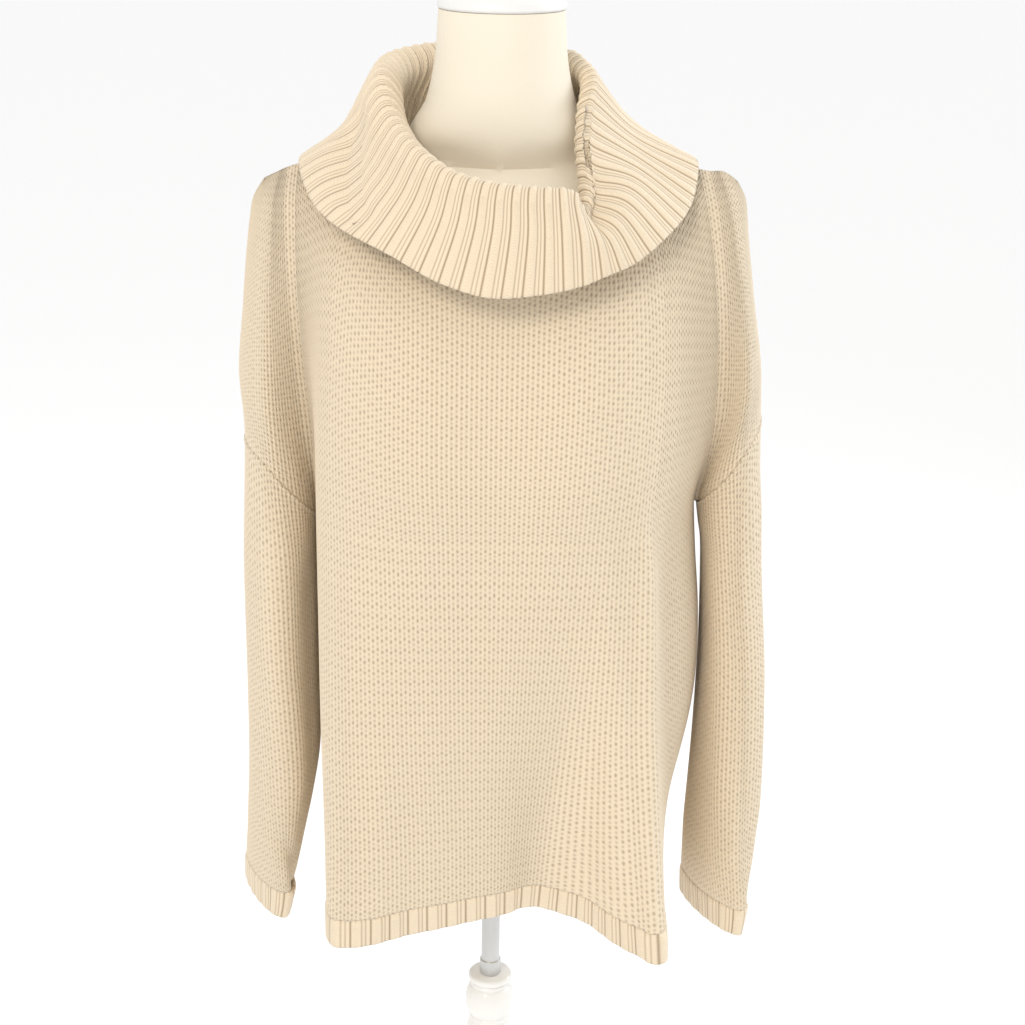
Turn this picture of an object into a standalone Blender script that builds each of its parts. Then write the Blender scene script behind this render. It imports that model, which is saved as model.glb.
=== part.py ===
"""Cowl neck sweater hung on a limbless dress form with a turned stand.

Metres, Z up. The floor is at Z = 0, the pole is on the Z axis and the sweater's front faces -Y.
Left and right are the photo's left (-X) and right (+X).
"""

import math

import bmesh
import bpy
import numpy as np
from mathutils import Vector

# Cloth sizes
WALL = 0.003
RIB_RAISE = 0.0012
SEAM_PULL = 0.00015
UNDERARM_GAP = 0.0030
UNDERARM_SHARE = 0.03
RIB_SHOULDERS = (0.22, 0.78)

# How far the hem rises in front, and where the front meets the back on the shoulders
HEM_LIFT = 0.010
SHOULDER_SEAM_Y = 0.003

# Counts of mesh segments and ribs
FRONT_SEGMENTS = (4, 4, 4, 4, 4, 4)
BACK_SEGMENTS = (4, 4, 3, 3, 4, 4)
ARM_SEGMENTS = 4
COLLAR_RIBS = 60
HEM_RIBS_FRONT = 34
HEM_RIBS_BACK = 30
CUFF_RIBS = 14

# Body sections below the underarm, from the hem up. Front points go from left to right.
BODY_FRONT = (
    # z, side_l x, y, corner_l x, y, mid_l x, y, centre y, mid_r x, y, corner_r x, y, side_r x, y
    (0.605, -0.149, 0.000, -0.139, -0.128, -0.070, -0.112, -0.092, 0.050, -0.078, 0.153, -0.147, 0.138, 0.010),
    (0.700, -0.152, 0.000, -0.138, -0.122, -0.070, -0.117, -0.106, 0.055, -0.096, 0.145, -0.124, 0.168, 0.015),
    (0.800, -0.156, 0.000, -0.139, -0.113, -0.072, -0.122, -0.118, 0.062, -0.112, 0.138, -0.109, 0.186, 0.010),
    (0.890, -0.156, 0.000, -0.139, -0.106, -0.073, -0.126, -0.124, 0.068, -0.121, 0.134, -0.104, 0.186, 0.008),
)

# Body sections below the underarm, the back's points. The side points are the front's.
BODY_BACK = (
    # z, corner_l x, y, mid_l y, centre y, mid_r y, corner_r x, y
    (0.605, -0.158, 0.092, 0.126, 0.122, 0.124, 0.128, 0.098),
    (0.700, -0.156, 0.088, 0.124, 0.124, 0.124, 0.140, 0.094),
    (0.800, -0.152, 0.084, 0.118, 0.122, 0.119, 0.148, 0.088),
    (0.890, -0.148, 0.082, 0.112, 0.117, 0.113, 0.146, 0.085),
)

# Lower and upper ends of each column from the underarm level to the shoulder seam or neckline
UPPER_ENDS = (
    # name, z at the underarm level, z at the shoulder seam or front neckline, z at the back neckline
    ("outer_l", 1.0480, 1.2722, 1.2722),
    ("arm_l", 1.0300, 1.2775, 1.2775),
    ("side_l", 0.9720, 1.2845, 1.2845),
    ("corner_l", 0.9850, 1.3025, 1.3025),
    ("mid_l", 0.9850, 1.2550, 1.3030),
    ("centre", 0.9850, 1.2340, 1.3010),
    ("mid_r", 0.9850, 1.2550, 1.3030),
    ("corner_r", 0.9850, 1.3025, 1.3025),
    ("side_r", 0.9850, 1.2850, 1.2850),
    ("arm_r", 1.0420, 1.2835, 1.2835),
    ("outer_r", 1.0720, 1.2755, 1.2755),
)

# Sections from the underarm level (share 0) to the shoulder seam and neckline (share 1), front
UPPER_FRONT = (
    # share, then x, y of outer_l, arm_l, side_l, corner_l, mid_l, centre, mid_r, corner_r, side_r, arm_r, outer_r
    (0.00, -0.2225, 0.003, -0.1970, -0.052, -0.1585, 0.000, -0.139, -0.098, -0.075, -0.131, 0.0, -0.130,
     0.072, -0.130, 0.131, -0.102, 0.1800, 0.012, 0.2120, -0.045, 0.2320, 0.005),
    (0.25, -0.2265, 0.003, -0.1990, -0.058, -0.1615, -0.022, -0.139, -0.100, -0.077, -0.138, 0.0, -0.132,
     0.075, -0.138, 0.137, -0.106, 0.1890, -0.024, 0.2150, -0.052, 0.2290, 0.004),
    (0.50, -0.2215, 0.003, -0.1980, -0.056, -0.1670, -0.038, -0.138, -0.092, -0.077, -0.131, 0.0, -0.126,
     0.077, -0.131, 0.139, -0.095, 0.1890, -0.038, 0.2110, -0.050, 0.2205, 0.003),
    (0.75, -0.2160, 0.003, -0.1960, -0.046, -0.1700, -0.049, -0.132, -0.076, -0.077, -0.112, 0.0, -0.116,
     0.077, -0.112, 0.133, -0.078, 0.1820, -0.049, 0.2030, -0.044, 0.2135, 0.003),
    (0.93, -0.2095, 0.003, -0.1935, -0.025, -0.1715, -0.030, -0.117, -0.042, -0.078, -0.086, 0.0, -0.105,
     0.078, -0.086, 0.118, -0.042, 0.1740, -0.030, 0.1955, -0.026, 0.2090, 0.003),
    (1.00, -0.2000, 0.003, -0.1890, 0.003, -0.1720, 0.003, -0.110, 0.000, -0.083, -0.075, 0.0, -0.101,
     0.083, -0.075, 0.110, 0.000, 0.1700, 0.003, 0.1890, 0.003, 0.2015, 0.003),
)

# The same sections, back
UPPER_BACK = (
    # share, then x, y of arm_l, side_l, corner_l, mid_l, centre, mid_r, corner_r, side_r, arm_r
    (0.00, -0.1960, 0.052, -0.1585, 0.000, -0.144, 0.084, -0.075, 0.112, 0.0, 0.116,
     0.075, 0.112, 0.144, 0.086, 0.1800, 0.012, 0.2080, 0.060),
    (0.25, -0.1970, 0.056, -0.1600, 0.026, -0.143, 0.084, -0.077, 0.112, 0.0, 0.115,
     0.077, 0.112, 0.143, 0.085, 0.1840, 0.036, 0.2080, 0.060),
    (0.50, -0.1960, 0.053, -0.1650, 0.040, -0.140, 0.082, -0.077, 0.111, 0.0, 0.113,
     0.077, 0.111, 0.140, 0.083, 0.1810, 0.044, 0.2050, 0.055),
    (0.75, -0.1940, 0.046, -0.1690, 0.048, -0.134, 0.070, -0.077, 0.101, 0.0, 0.105,
     0.077, 0.101, 0.134, 0.070, 0.1770, 0.049, 0.2000, 0.047),
    (0.93, -0.1925, 0.028, -0.1710, 0.032, -0.117, 0.040, -0.077, 0.078, 0.0, 0.086,
     0.077, 0.078, 0.117, 0.040, 0.1720, 0.032, 0.1950, 0.028),
    (1.00, -0.1890, 0.003, -0.1720, 0.003, -0.110, 0.000, -0.078, 0.060, 0.0, 0.080,
     0.078, 0.060, 0.110, 0.000, 0.1700, 0.003, 0.1890, 0.003),
)

# Sleeve sections from the cuff's free edge up. The long axis starts along Y and turns by the twist.
SLEEVE_LEFT = (
    # z, centre x, centre y, half width across, half width along, twist in degrees
    (0.578, -0.2170, 0.004, 0.0125, 0.0500, 26.0),
    (0.606, -0.2130, 0.004, 0.0170, 0.0520, 26.0),
    (0.660, -0.2060, 0.003, 0.0260, 0.0540, 18.0),
    (0.740, -0.1960, 0.002, 0.0330, 0.0560, 8.0),
    (0.840, -0.1950, 0.002, 0.0330, 0.0580, 3.0),
    (0.940, -0.1940, 0.002, 0.0330, 0.0560, 0.0),
)
SLEEVE_RIGHT = (
    # z, centre x, centre y, half width across, half width along, twist in degrees
    (0.578, 0.2110, -0.014, 0.0130, 0.0510, 27.0),
    (0.606, 0.2130, -0.012, 0.0180, 0.0530, 26.0),
    (0.660, 0.2150, -0.006, 0.0255, 0.0550, 20.0),
    (0.740, 0.2180, 0.002, 0.0270, 0.0570, 14.0),
    (0.840, 0.2180, 0.010, 0.0260, 0.0590, 9.0),
    (0.940, 0.2130, 0.012, 0.0250, 0.0560, 5.0),
)

# Soft folds pressed into the cloth or standing out of it, along a line down one side of a piece
FOLDS = (
    # face, x at the top, z at the top, x at the bottom, z at the bottom, height out of the cloth, half width
    ("front", 0.126, 1.040, 0.149, 0.600, 0.007, 0.011),
    ("front", 0.160, 1.000, 0.166, 0.700, -0.004, 0.014),
    ("front", -0.149, 1.120, -0.141, 0.600, 0.004, 0.010),
    ("front", 0.075, 0.860, 0.085, 0.600, -0.006, 0.022),
    ("front", -0.030, 1.000, -0.020, 0.780, -0.003, 0.030),
    ("back", 0.060, 1.150, 0.075, 0.600, 0.005, 0.025),
    ("back", -0.050, 1.060, -0.065, 0.600, -0.006, 0.026),
    ("back", -0.110, 1.000, -0.125, 0.600, 0.005, 0.022),
    ("back", 0.010, 0.900, 0.015, 0.600, -0.004, 0.024),
)

# The collar's hidden side, station by station. The angle runs from the front towards the right.
COLLAR = (
    # angle, ridge radius, ridge z, half thickness of the roll, mid radius, mid z, edge radius, edge z
    (-180.0, 0.098, 1.374, 0.0080, 0.122, 1.325, 0.134, 1.276),
    (-150.0, 0.106, 1.374, 0.0090, 0.132, 1.327, 0.146, 1.276),
    (-125.0, 0.106, 1.371, 0.0110, 0.134, 1.323, 0.158, 1.277),
    (-90.0, 0.099, 1.362, 0.0130, 0.127, 1.314, 0.168, 1.2875),
    (-62.0, 0.098, 1.330, 0.0110, 0.126, 1.292, 0.162, 1.256),
    (-35.0, 0.108, 1.309, 0.0090, 0.133, 1.275, 0.154, 1.236),
    (-16.0, 0.117, 1.295, 0.0075, 0.137, 1.260, 0.149, 1.215),
    (0.0, 0.121, 1.289, 0.0070, 0.138, 1.255, 0.148, 1.206),
    (14.0, 0.124, 1.286, 0.0070, 0.140, 1.252, 0.150, 1.209),
    (26.0, 0.127, 1.284, 0.0060, 0.147, 1.250, 0.154, 1.215),
    (34.0, 0.121, 1.266, 0.0060, 0.148, 1.2465, 0.158, 1.222),
    (42.0, 0.109, 1.279, 0.0065, 0.142, 1.258, 0.161, 1.228),
    (54.0, 0.087, 1.321, 0.0060, 0.132, 1.278, 0.164, 1.243),
    (70.0, 0.078, 1.346, 0.0055, 0.122, 1.295, 0.166, 1.262),
    (90.0, 0.076, 1.358, 0.0055, 0.112, 1.314, 0.166, 1.2895),
    (115.0, 0.077, 1.366, 0.0060, 0.112, 1.322, 0.155, 1.281),
    (140.0, 0.087, 1.372, 0.0070, 0.118, 1.325, 0.142, 1.278),
)
COLLAR_TWIST = -0.10
COLLAR_ROWS = 9

# Dress form sections from the neck's top down
FORM = (
    # z, half width, front y, back y, roundness
    (1.4150, 0.0526, -0.0520, 0.0480, 2.0),
    (1.3730, 0.0555, -0.0545, 0.0500, 2.0),
    (1.3400, 0.0630, -0.0580, 0.0520, 2.0),
    (1.3180, 0.0765, -0.0575, 0.0530, 1.9),
    (1.3060, 0.0865, -0.0550, 0.0530, 1.6),
    (1.2970, 0.1005, -0.0520, 0.0535, 1.3),
    (1.2905, 0.1250, -0.0480, 0.0535, 1.2),
    (1.2860, 0.1480, -0.0495, 0.0535, 1.2),
    (1.2836, 0.1580, -0.0515, 0.0545, 1.2),
    (1.2800, 0.1660, -0.0550, 0.0565, 1.25),
    (1.2680, 0.1765, -0.0660, 0.0620, 1.4),
    (1.2400, 0.1790, -0.0790, 0.0730, 1.7),
    (1.2000, 0.1720, -0.0940, 0.0840, 2.0),
    (1.1400, 0.1600, -0.1090, 0.0940, 2.1),
    (1.0900, 0.1500, -0.1180, 0.0980, 2.2),
    (1.0200, 0.1360, -0.1120, 0.0960, 2.2),
    (0.9000, 0.1180, -0.0900, 0.0840, 2.1),
    (0.8200, 0.1290, -0.0900, 0.0920, 2.2),
    (0.7400, 0.1400, -0.0880, 0.0980, 2.3),
    (0.6900, 0.1380, -0.0840, 0.0960, 2.3),
    (0.6680, 0.1320, -0.0790, 0.0910, 2.3),
)
FORM_SEGMENTS = 28

# Stand sizes
POLE_RADIUS = 0.00875
POLE_TOP_Z = 0.6677
POLE_BOTTOM_Z = 0.4963
BUSH_RADIUS = 0.0102
BUSH_TOP_Z = 0.512
COLUMN = (
    # radius, z from the knob's top down to the foot
    (0.0195, 0.4960), (0.0210, 0.4945), (0.0210, 0.4905), (0.0195, 0.4890), (0.0170, 0.4880),
    (0.0190, 0.4865), (0.0192, 0.4845), (0.0178, 0.4830), (0.0205, 0.4810), (0.0228, 0.4760),
    (0.0240, 0.4690), (0.0238, 0.4620), (0.0222, 0.4560), (0.0198, 0.4520), (0.0186, 0.4505),
    (0.0202, 0.4490), (0.0202, 0.4465), (0.0186, 0.4450), (0.0205, 0.4420), (0.0228, 0.4340),
    (0.0235, 0.4250), (0.0235, 0.0600), (0.0250, 0.0480), (0.0290, 0.0360), (0.0340, 0.0263),
)
BASE_RADIUS = 0.150
BASE_PROFILE = (
    # radius, z from the top's middle outwards and down
    (0.1300, 0.0260), (0.1420, 0.0235), (0.1480, 0.0180), (0.1500, 0.0110), (0.1500, 0.0030), (0.1470, 0.0000),
)
CAP_PROFILE = (
    # radius, z from the top's middle outwards and down
    (0.0200, 1.4340), (0.0380, 1.4315), (0.0490, 1.4270), (0.0535, 1.4210), (0.0535, 1.4153),
)
TURN_SEGMENTS = 24

# Materials: colour, roughness, metallic
MATERIALS = {
    "knit": ((0.86, 0.78, 0.64, 1.0), 0.90, 0.0),
    "rib": ((0.80, 0.71, 0.57, 1.0), 0.90, 0.0),
    "jersey": ((0.88, 0.82, 0.69, 1.0), 0.85, 0.0),
    "cap": ((0.80, 0.80, 0.78, 1.0), 0.45, 0.0),
    "pole": ((0.66, 0.66, 0.65, 1.0), 0.35, 1.0),
    "painted_wood": ((0.84, 0.82, 0.78, 1.0), 0.35, 0.0),
}


def clear_scene():
    for obj in list(bpy.data.objects):
        bpy.data.objects.remove(obj, do_unlink=True)


def make_materials():
    made = {}
    for name, (colour, roughness, metallic) in MATERIALS.items():
        material = bpy.data.materials.new(name)
        material.use_nodes = True
        shader = material.node_tree.nodes["Principled BSDF"]
        shader.inputs["Base Color"].default_value = colour
        shader.inputs["Roughness"].default_value = roughness
        shader.inputs["Metallic"].default_value = metallic
        material.diffuse_color = colour
        made[name] = material
    return made


def smooth_line(points, at, closed=False):
    """Points on the smooth curve through the given points, at fractional indices."""
    points = np.asarray(points, float)
    count = len(points)
    found = []
    for t in at:
        i = int(math.floor(t + 1e-9))
        if not closed:
            i = min(max(i, 0), count - 2)
        f = t - i
        if closed:
            a, b, c, d = (points[(i + k) % count] for k in (-1, 0, 1, 2))
        else:
            b, c = points[i], points[i + 1]
            a = points[i - 1] if i > 0 else 2 * b - c
            d = points[i + 2] if i + 2 < count else 2 * c - b
        found.append(
            0.5 * (2 * b + (c - a) * f + (2 * a - 5 * b + 4 * c - d) * f ** 2 + (3 * b - a - 3 * c + d) * f ** 3)
        )
    return np.array(found)


def divided(segments):
    """Fractional indices that divide each span into its number of segments."""
    at = [i + k / n for i, n in enumerate(segments) for k in range(n)]
    return at + [float(len(segments))]


def body_ring(row):
    """Control points of one closed body section below the underarm, from the left side round the front."""
    front, back = BODY_FRONT[row], BODY_BACK[row]
    z = front[0]
    flat = [
        (front[1], front[2]), (front[3], front[4]), (front[5], front[6]), (0.0, front[7]),
        (front[8], front[9]), (front[10], front[11]), (front[12], front[13]),
        (back[6], back[7]), (0.072, back[5]), (0.0, back[4]), (-0.075, back[3]), (back[1], back[2]),
    ]
    return [(x, y, z) for x, y in flat]


def upper_points(row):
    """Control points of one section above the underarm: front from left to right, back from right to left."""
    share, *front = UPPER_FRONT[row]
    back = UPPER_BACK[row][1:]
    front_points = [
        (front[2 * i], front[2 * i + 1], low + (top - low) * share)
        for i, (_, low, top, _) in enumerate(UPPER_ENDS)
    ]
    back_points = [
        (back[2 * i], back[2 * i + 1], low + (top - low) * share)
        for i, (_, low, _, top) in enumerate(UPPER_ENDS[1:-1])
    ]
    return front_points, back_points[::-1]


def sleeve_ring(section, sign):
    """Points of an oval sleeve section: inner, front, outer and back, with the ones between."""
    z, centre_x, centre_y, across, along, twist = section
    c, s = math.cos(math.radians(twist)), math.sin(math.radians(twist))
    points = []
    for k in range(4 * ARM_SEGMENTS):
        angle = 2 * math.pi * k / (4 * ARM_SEGMENTS)
        x, y = -sign * across * math.cos(angle), -along * math.sin(angle)
        points.append((centre_x + x * c - y * s, centre_y + x * s + y * c, z))
    return np.array(points)


class Skin:
    """The cloth's outer surface as grids of points that share their edges."""

    def __init__(self):
        self.points = {}
        self.quads = {}
        self.normals = {}

    def add_grid(self, piece, grid, closed=False):
        """Adds a grid (rows upwards, columns left to right seen from outside) to one piece."""
        rows, columns = grid.shape[:2]
        keys = [[self.key(grid[j][i]) for i in range(columns)] for j in range(rows)]
        found = self.quads.setdefault(piece, [])
        for j in range(rows - 1):
            for i in range(columns if closed else columns - 1):
                n = (i + 1) % columns
                found.append((keys[j][i], keys[j][n], keys[j + 1][n], keys[j + 1][i]))
        return keys

    def key(self, point):
        key = tuple(int(round(c * 1e6)) for c in point)
        self.points.setdefault(key, Vector([float(c) for c in point]))
        return key

    def find_normals(self):
        total = {key: Vector((0.0, 0.0, 0.0)) for key in self.points}
        for quads in self.quads.values():
            for quad in quads:
                a, b, c, d = (self.points[key] for key in quad)
                normal = (c - a).cross(d - b)
                for key in quad:
                    total[key] += normal
        # Where front and back meet on the shoulders and arms, the wall keeps to the plane between them.
        for key in self.keys_of("front_panel") & self.keys_of("back_panel"):
            total[key].y = 0.0
        self.normals = {key: n.normalized() if n.length > 0 else Vector((0, 0, 1)) for key, n in total.items()}

    def keys_of(self, piece):
        return {key for quad in self.quads[piece] for key in quad}


def fold_offsets(points, outward, face):
    """The points moved in or out of the plain surface by the fold table."""
    out = np.zeros(points.shape[:2])
    for side, x_top, z_top, x_low, z_low, height, half in FOLDS:
        if side != face:
            continue
        share = np.clip((points[..., 2] - z_low) / (z_top - z_low), 0.0, 1.0)
        middle = x_low + (x_top - x_low) * share
        fade = np.clip((z_top - points[..., 2]) / 0.12, 0.0, 1.0)
        fade = fade * fade * (3 - 2 * fade)
        out += height * fade * np.exp(-(((points[..., 0] - middle) / half) ** 2))
    return points + outward * out[..., None]


def plan_normals(rings):
    """Level outward directions of closed rings of points."""
    ahead = np.roll(rings, -1, axis=1) - np.roll(rings, 1, axis=1)
    out = np.stack([ahead[..., 1], -ahead[..., 0], np.zeros(ahead.shape[:2])], axis=-1)
    return out / np.maximum(np.linalg.norm(out, axis=-1, keepdims=True), 1e-9)


def hem_lift(points):
    """The hem hangs a little higher where the front falls back under the bust."""
    lift = HEM_LIFT * np.exp(-(((points[..., 0] - 0.035) / 0.075) ** 2))
    lift = lift * np.clip((0.80 - points[..., 2]) / 0.19, 0.0, 1.0) * (points[..., 1] < 0)
    points = points.copy()
    points[..., 2] += lift
    return points


def build_skin():
    """All cloth but the collar: body, arms and sleeves as grids of outer points."""
    front_at = divided(FRONT_SEGMENTS)
    back_at = [6 + t for t in divided(BACK_SEGMENTS)]
    n_front, n_back = len(front_at), len(back_at)
    lower = []
    for row in range(len(BODY_FRONT)):
        ring = smooth_line(body_ring(row), front_at + back_at[1:-1], closed=True)
        lower.append(ring)
    lower = np.array(lower)
    level_front, level_back = upper_points(0)
    level_ring = level_front[2:9] + level_back[2:7]
    for corner, shift in ((0, UNDERARM_GAP / 2), (6, -UNDERARM_GAP / 2)):
        x, y, z = level_ring[corner]
        level_ring[corner] = (x + shift, y, z)
    lower = np.concatenate([lower, smooth_line(level_ring, front_at + back_at[1:-1], closed=True)[None]])

    sleeves = {}
    for name, table, sign in (("left", SLEEVE_LEFT, -1.0), ("right", SLEEVE_RIGHT, 1.0)):
        rings = [sleeve_ring(section, sign) for section in table]
        if name == "left":
            quarter = [level_front[2], level_front[1], level_front[0], level_back[8]]
        else:
            quarter = [level_front[8], level_front[9], level_front[10], level_back[0]]
        quarter[0] = (quarter[0][0] + sign * UNDERARM_GAP / 2, quarter[0][1], quarter[0][2])
        at = [k / ARM_SEGMENTS for k in range(4 * ARM_SEGMENTS)]
        top = smooth_line(quarter, at, closed=True)
        centre = top.mean(axis=0)
        # The line through four points is drawn out to a rounder one between them.
        swell = np.array([1 + 0.10 * math.sin(math.pi * share) ** 2 for share in at])
        top[:, :2] = centre[:2] + (top[:, :2] - centre[:2]) * swell[:, None]
        sleeves[name] = np.array(rings + [top])

    # Whole sections above the underarm level
    arm_half = [k / ARM_SEGMENTS for k in range(1, 2 * ARM_SEGMENTS)]
    front_ring_at = [0.0] + arm_half + [2 - UNDERARM_SHARE, 2 + UNDERARM_SHARE] + [2 + t for t in front_at[1:-1]]
    front_ring_at += [8 - UNDERARM_SHARE, 8 + UNDERARM_SHARE] + [8 + t for t in arm_half] + [10.0]
    back_ring_at = [10 + t for t in arm_half] + [12 - UNDERARM_SHARE, 12 + UNDERARM_SHARE]
    back_ring_at += [6 + t for t in back_at[1:-1]] + [18 - UNDERARM_SHARE, 18 + UNDERARM_SHARE]
    back_ring_at += [18 + t for t in arm_half]
    upper = []
    for row in range(len(UPPER_FRONT)):
        front, back = upper_points(row)
        upper.append(smooth_line(front + back, front_ring_at + back_ring_at, closed=True))
    upper = np.array(upper)
    return lower, sleeves, upper, n_front, n_back


def shape_of(values, at):
    """Smooth rows between control rows."""
    rows = values.shape[0]
    flat = values.reshape(rows, -1)
    return smooth_line(flat, at).reshape(len(at), *values.shape[1:])


def lay_out():
    """Grids of the plain pieces, and the rings that the ribs and the collar grow from."""
    lower, sleeves, upper, n_front, n_back = build_skin()
    arms = 2 * ARM_SEGMENTS

    # Columns of the upper ring: left arm, body front, right arm, then the back the other way round
    left_front = list(range(0, arms + 1))
    body_front = list(range(arms + 1, arms + 1 + n_front))
    last = 2 * arms + n_front + 1
    right_front = list(range(arms + 1 + n_front, last + 1))
    right_back = list(range(last, last + arms + 1))
    body_back = list(range(last + arms + 1, last + arms + 1 + n_back))
    left_back = list(range(last + arms + 1 + n_back, upper.shape[1])) + [0]

    # The level section is taken from the body's and the sleeves' own rings
    body_level = lower[-1]
    upper[0][body_front] = body_level[:n_front]
    upper[0][body_back] = body_level[[k % len(body_level) for k in range(n_front - 1, n_front - 1 + n_back)]]
    left, right = sleeves["left"][-1], sleeves["right"][-1]
    upper[0][left_front] = left[[arms - k for k in range(arms + 1)]]
    upper[0][left_back] = left[[(2 * arms - k) % (2 * arms) for k in range(arms + 1)]]
    upper[0][right_front] = right[list(range(arms + 1))]
    upper[0][right_back] = right[[(arms + k) % (2 * arms) for k in range(arms + 1)]]

    # Front and back meet in one line along each shoulder
    for fronts, backs in (
        (
            left_front + body_front[:FRONT_SEGMENTS[0] + 1],
            left_back[::-1] + body_back[::-1][:BACK_SEGMENTS[-1] + 1],
        ),
        (
            right_front[::-1] + body_front[::-1][:FRONT_SEGMENTS[-1] + 1],
            right_back + body_back[:BACK_SEGMENTS[0] + 1],
        ),
    ):
        seam = 0.5 * (upper[-1][fronts] + upper[-1][backs])
        seam[:, 1] = SHOULDER_SEAM_Y
        upper[-1][fronts] = seam
        upper[-1][backs] = seam

    # A row below the level one steers the curves through it
    below = 2 * upper[0] - upper[1]
    below[body_front[1:-1]] = lower[-2][1:n_front - 1]
    below[body_back[1:-1]] = lower[-2][n_front:n_front + n_back - 2]
    below[left_front[:-1]] = sleeves["left"][-2][[arms - k for k in range(arms)]]
    below[left_back[1:]] = sleeves["left"][-2][[(2 * arms - k) % (2 * arms) for k in range(1, arms + 1)]]
    below[right_front[1:]] = sleeves["right"][-2][list(range(1, arms + 1))]
    below[right_back[:-1]] = sleeves["right"][-2][[arms + k for k in range(arms)]]
    upper_rows = [1 + t for t in divided((3, 3, 2, 2, 1))]
    upper_grid = shape_of(np.concatenate([below[None], upper]), upper_rows)
    upper_grid[-1] = upper[-1]

    # Body below the level row, steered by the row above it
    above = upper[1][body_front + body_back[1:-1]]
    body_rows = [0.0, 0.142, 0.284, 0.6, 1.0, 1.5, 2.0, 2.5, 3.0, 3.5, 4.0]
    body_grid = shape_of(np.concatenate([lower, above[None]]), body_rows)
    body_grid[-1] = body_level
    body_grid = hem_lift(body_grid)

    sleeve_grids = {}
    for name, columns in (
        ("left", left_front[::-1] + left_back[::-1][1:-1]),
        ("right", right_front + right_back[1:-1]),
    ):
        above = upper[1][columns]
        rows = [0.0, 0.5, 1.0, 1.5, 2.0, 2.5, 3.0, 3.5, 4.0, 4.5, 5.0, 5.5, 6.0]
        grid = shape_of(np.concatenate([sleeves[name], above[None]]), rows)
        grid[-1] = upper_grid[0][columns]
        sleeve_grids[name] = grid
    columns = {
        "left_front": left_front, "body_front": body_front, "right_front": right_front,
        "right_back": right_back, "body_back": body_back, "left_back": left_back,
    }
    return body_grid, upper_grid, sleeve_grids, columns, n_front, n_back


def folded(body_grid, upper_grid, columns, n_front, n_back):
    """Presses the folds into the front and the back, and joins them at the level row again."""
    whole_body = body_grid
    out = plan_normals(whole_body)
    front = fold_offsets(whole_body[:, :n_front], out[:, :n_front], "front")
    back_index = [k % whole_body.shape[1] for k in range(n_front - 1, n_front - 1 + n_back)]
    back = fold_offsets(whole_body[:, back_index], out[:, back_index], "back")
    front[:, 0] = whole_body[:, 0]
    front[:, -1] = whole_body[:, n_front - 1]
    back[:, 0] = whole_body[:, n_front - 1]
    back[:, -1] = whole_body[:, 0]
    out = plan_normals(upper_grid)
    upper = upper_grid.copy()
    for face in ("front", "back"):
        chosen = columns["body_" + face]
        inner = chosen[1:-1]
        upper[:, inner] = fold_offsets(upper_grid[:, inner], out[:, inner], face)
    upper[0][columns["body_front"]] = front[-1]
    upper[0][columns["body_back"]] = back[-1]
    return front, back, upper


def pulled(skin, quads):
    """Outer points of a piece, its open edges moved in by the seam's share."""
    edges = {}
    for quad in quads:
        for a, b in zip(quad, quad[1:] + quad[:1]):
            edges.setdefault(frozenset((a, b)), []).append((a, b, quad))
    moves = {}
    for uses in edges.values():
        if len(uses) > 1:
            continue
        a, b, quad = uses[0]
        along = (skin.points[b] - skin.points[a]).normalized()
        middle = sum((skin.points[key] for key in quad), Vector((0, 0, 0))) / 4
        inward = middle - skin.points[a]
        inward = (inward - along * inward.dot(along)).normalized()
        for key in (a, b):
            moves.setdefault(key, []).append(inward)
    found = {}
    for quad in quads:
        for key in quad:
            found[key] = skin.points[key].copy()
    for key, inward in moves.items():
        mean = sum(inward, Vector((0, 0, 0))).normalized()
        found[key] += mean * (SEAM_PULL / max(0.5, mean.dot(inward[0])))
    return found


def finish_object(name, bm, material, smooth_angle=None):
    mesh = bpy.data.meshes.new(name)
    bm.to_mesh(mesh)
    bm.free()
    obj = bpy.data.objects.new(name, mesh)
    bpy.context.scene.collection.objects.link(obj)
    mesh.materials.append(material)
    mesh.shade_smooth()
    if smooth_angle is not None:
        mesh.set_sharp_from_angle(angle=math.radians(smooth_angle))
    return obj


def cloth_piece(name, skin, quads, material):
    """A closed wall: the outer quads, the same quads one wall further in, and a rim round every open edge."""
    places = pulled(skin, quads)
    bm = bmesh.new()
    outer = {key: bm.verts.new(point) for key, point in places.items()}
    inner = {key: bm.verts.new(point - skin.normals[key] * WALL) for key, point in places.items()}
    uses = {}
    for quad in quads:
        bm.faces.new([outer[key] for key in quad])
        bm.faces.new([inner[key] for key in reversed(quad)])
        for a, b in zip(quad, quad[1:] + quad[:1]):
            uses[(a, b)] = uses.get((a, b), 0) + 1
    for a, b in uses:
        if (b, a) in uses:
            continue
        # Pieces that meet at a seam split the rim along the same line.
        if a < b:
            bm.faces.new([outer[b], outer[a], inner[b]])
            bm.faces.new([outer[a], inner[a], inner[b]])
        else:
            bm.faces.new([outer[b], outer[a], inner[a]])
            bm.faces.new([outer[b], inner[a], inner[b]])
    return finish_object(name, bm, material, 60)


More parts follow.
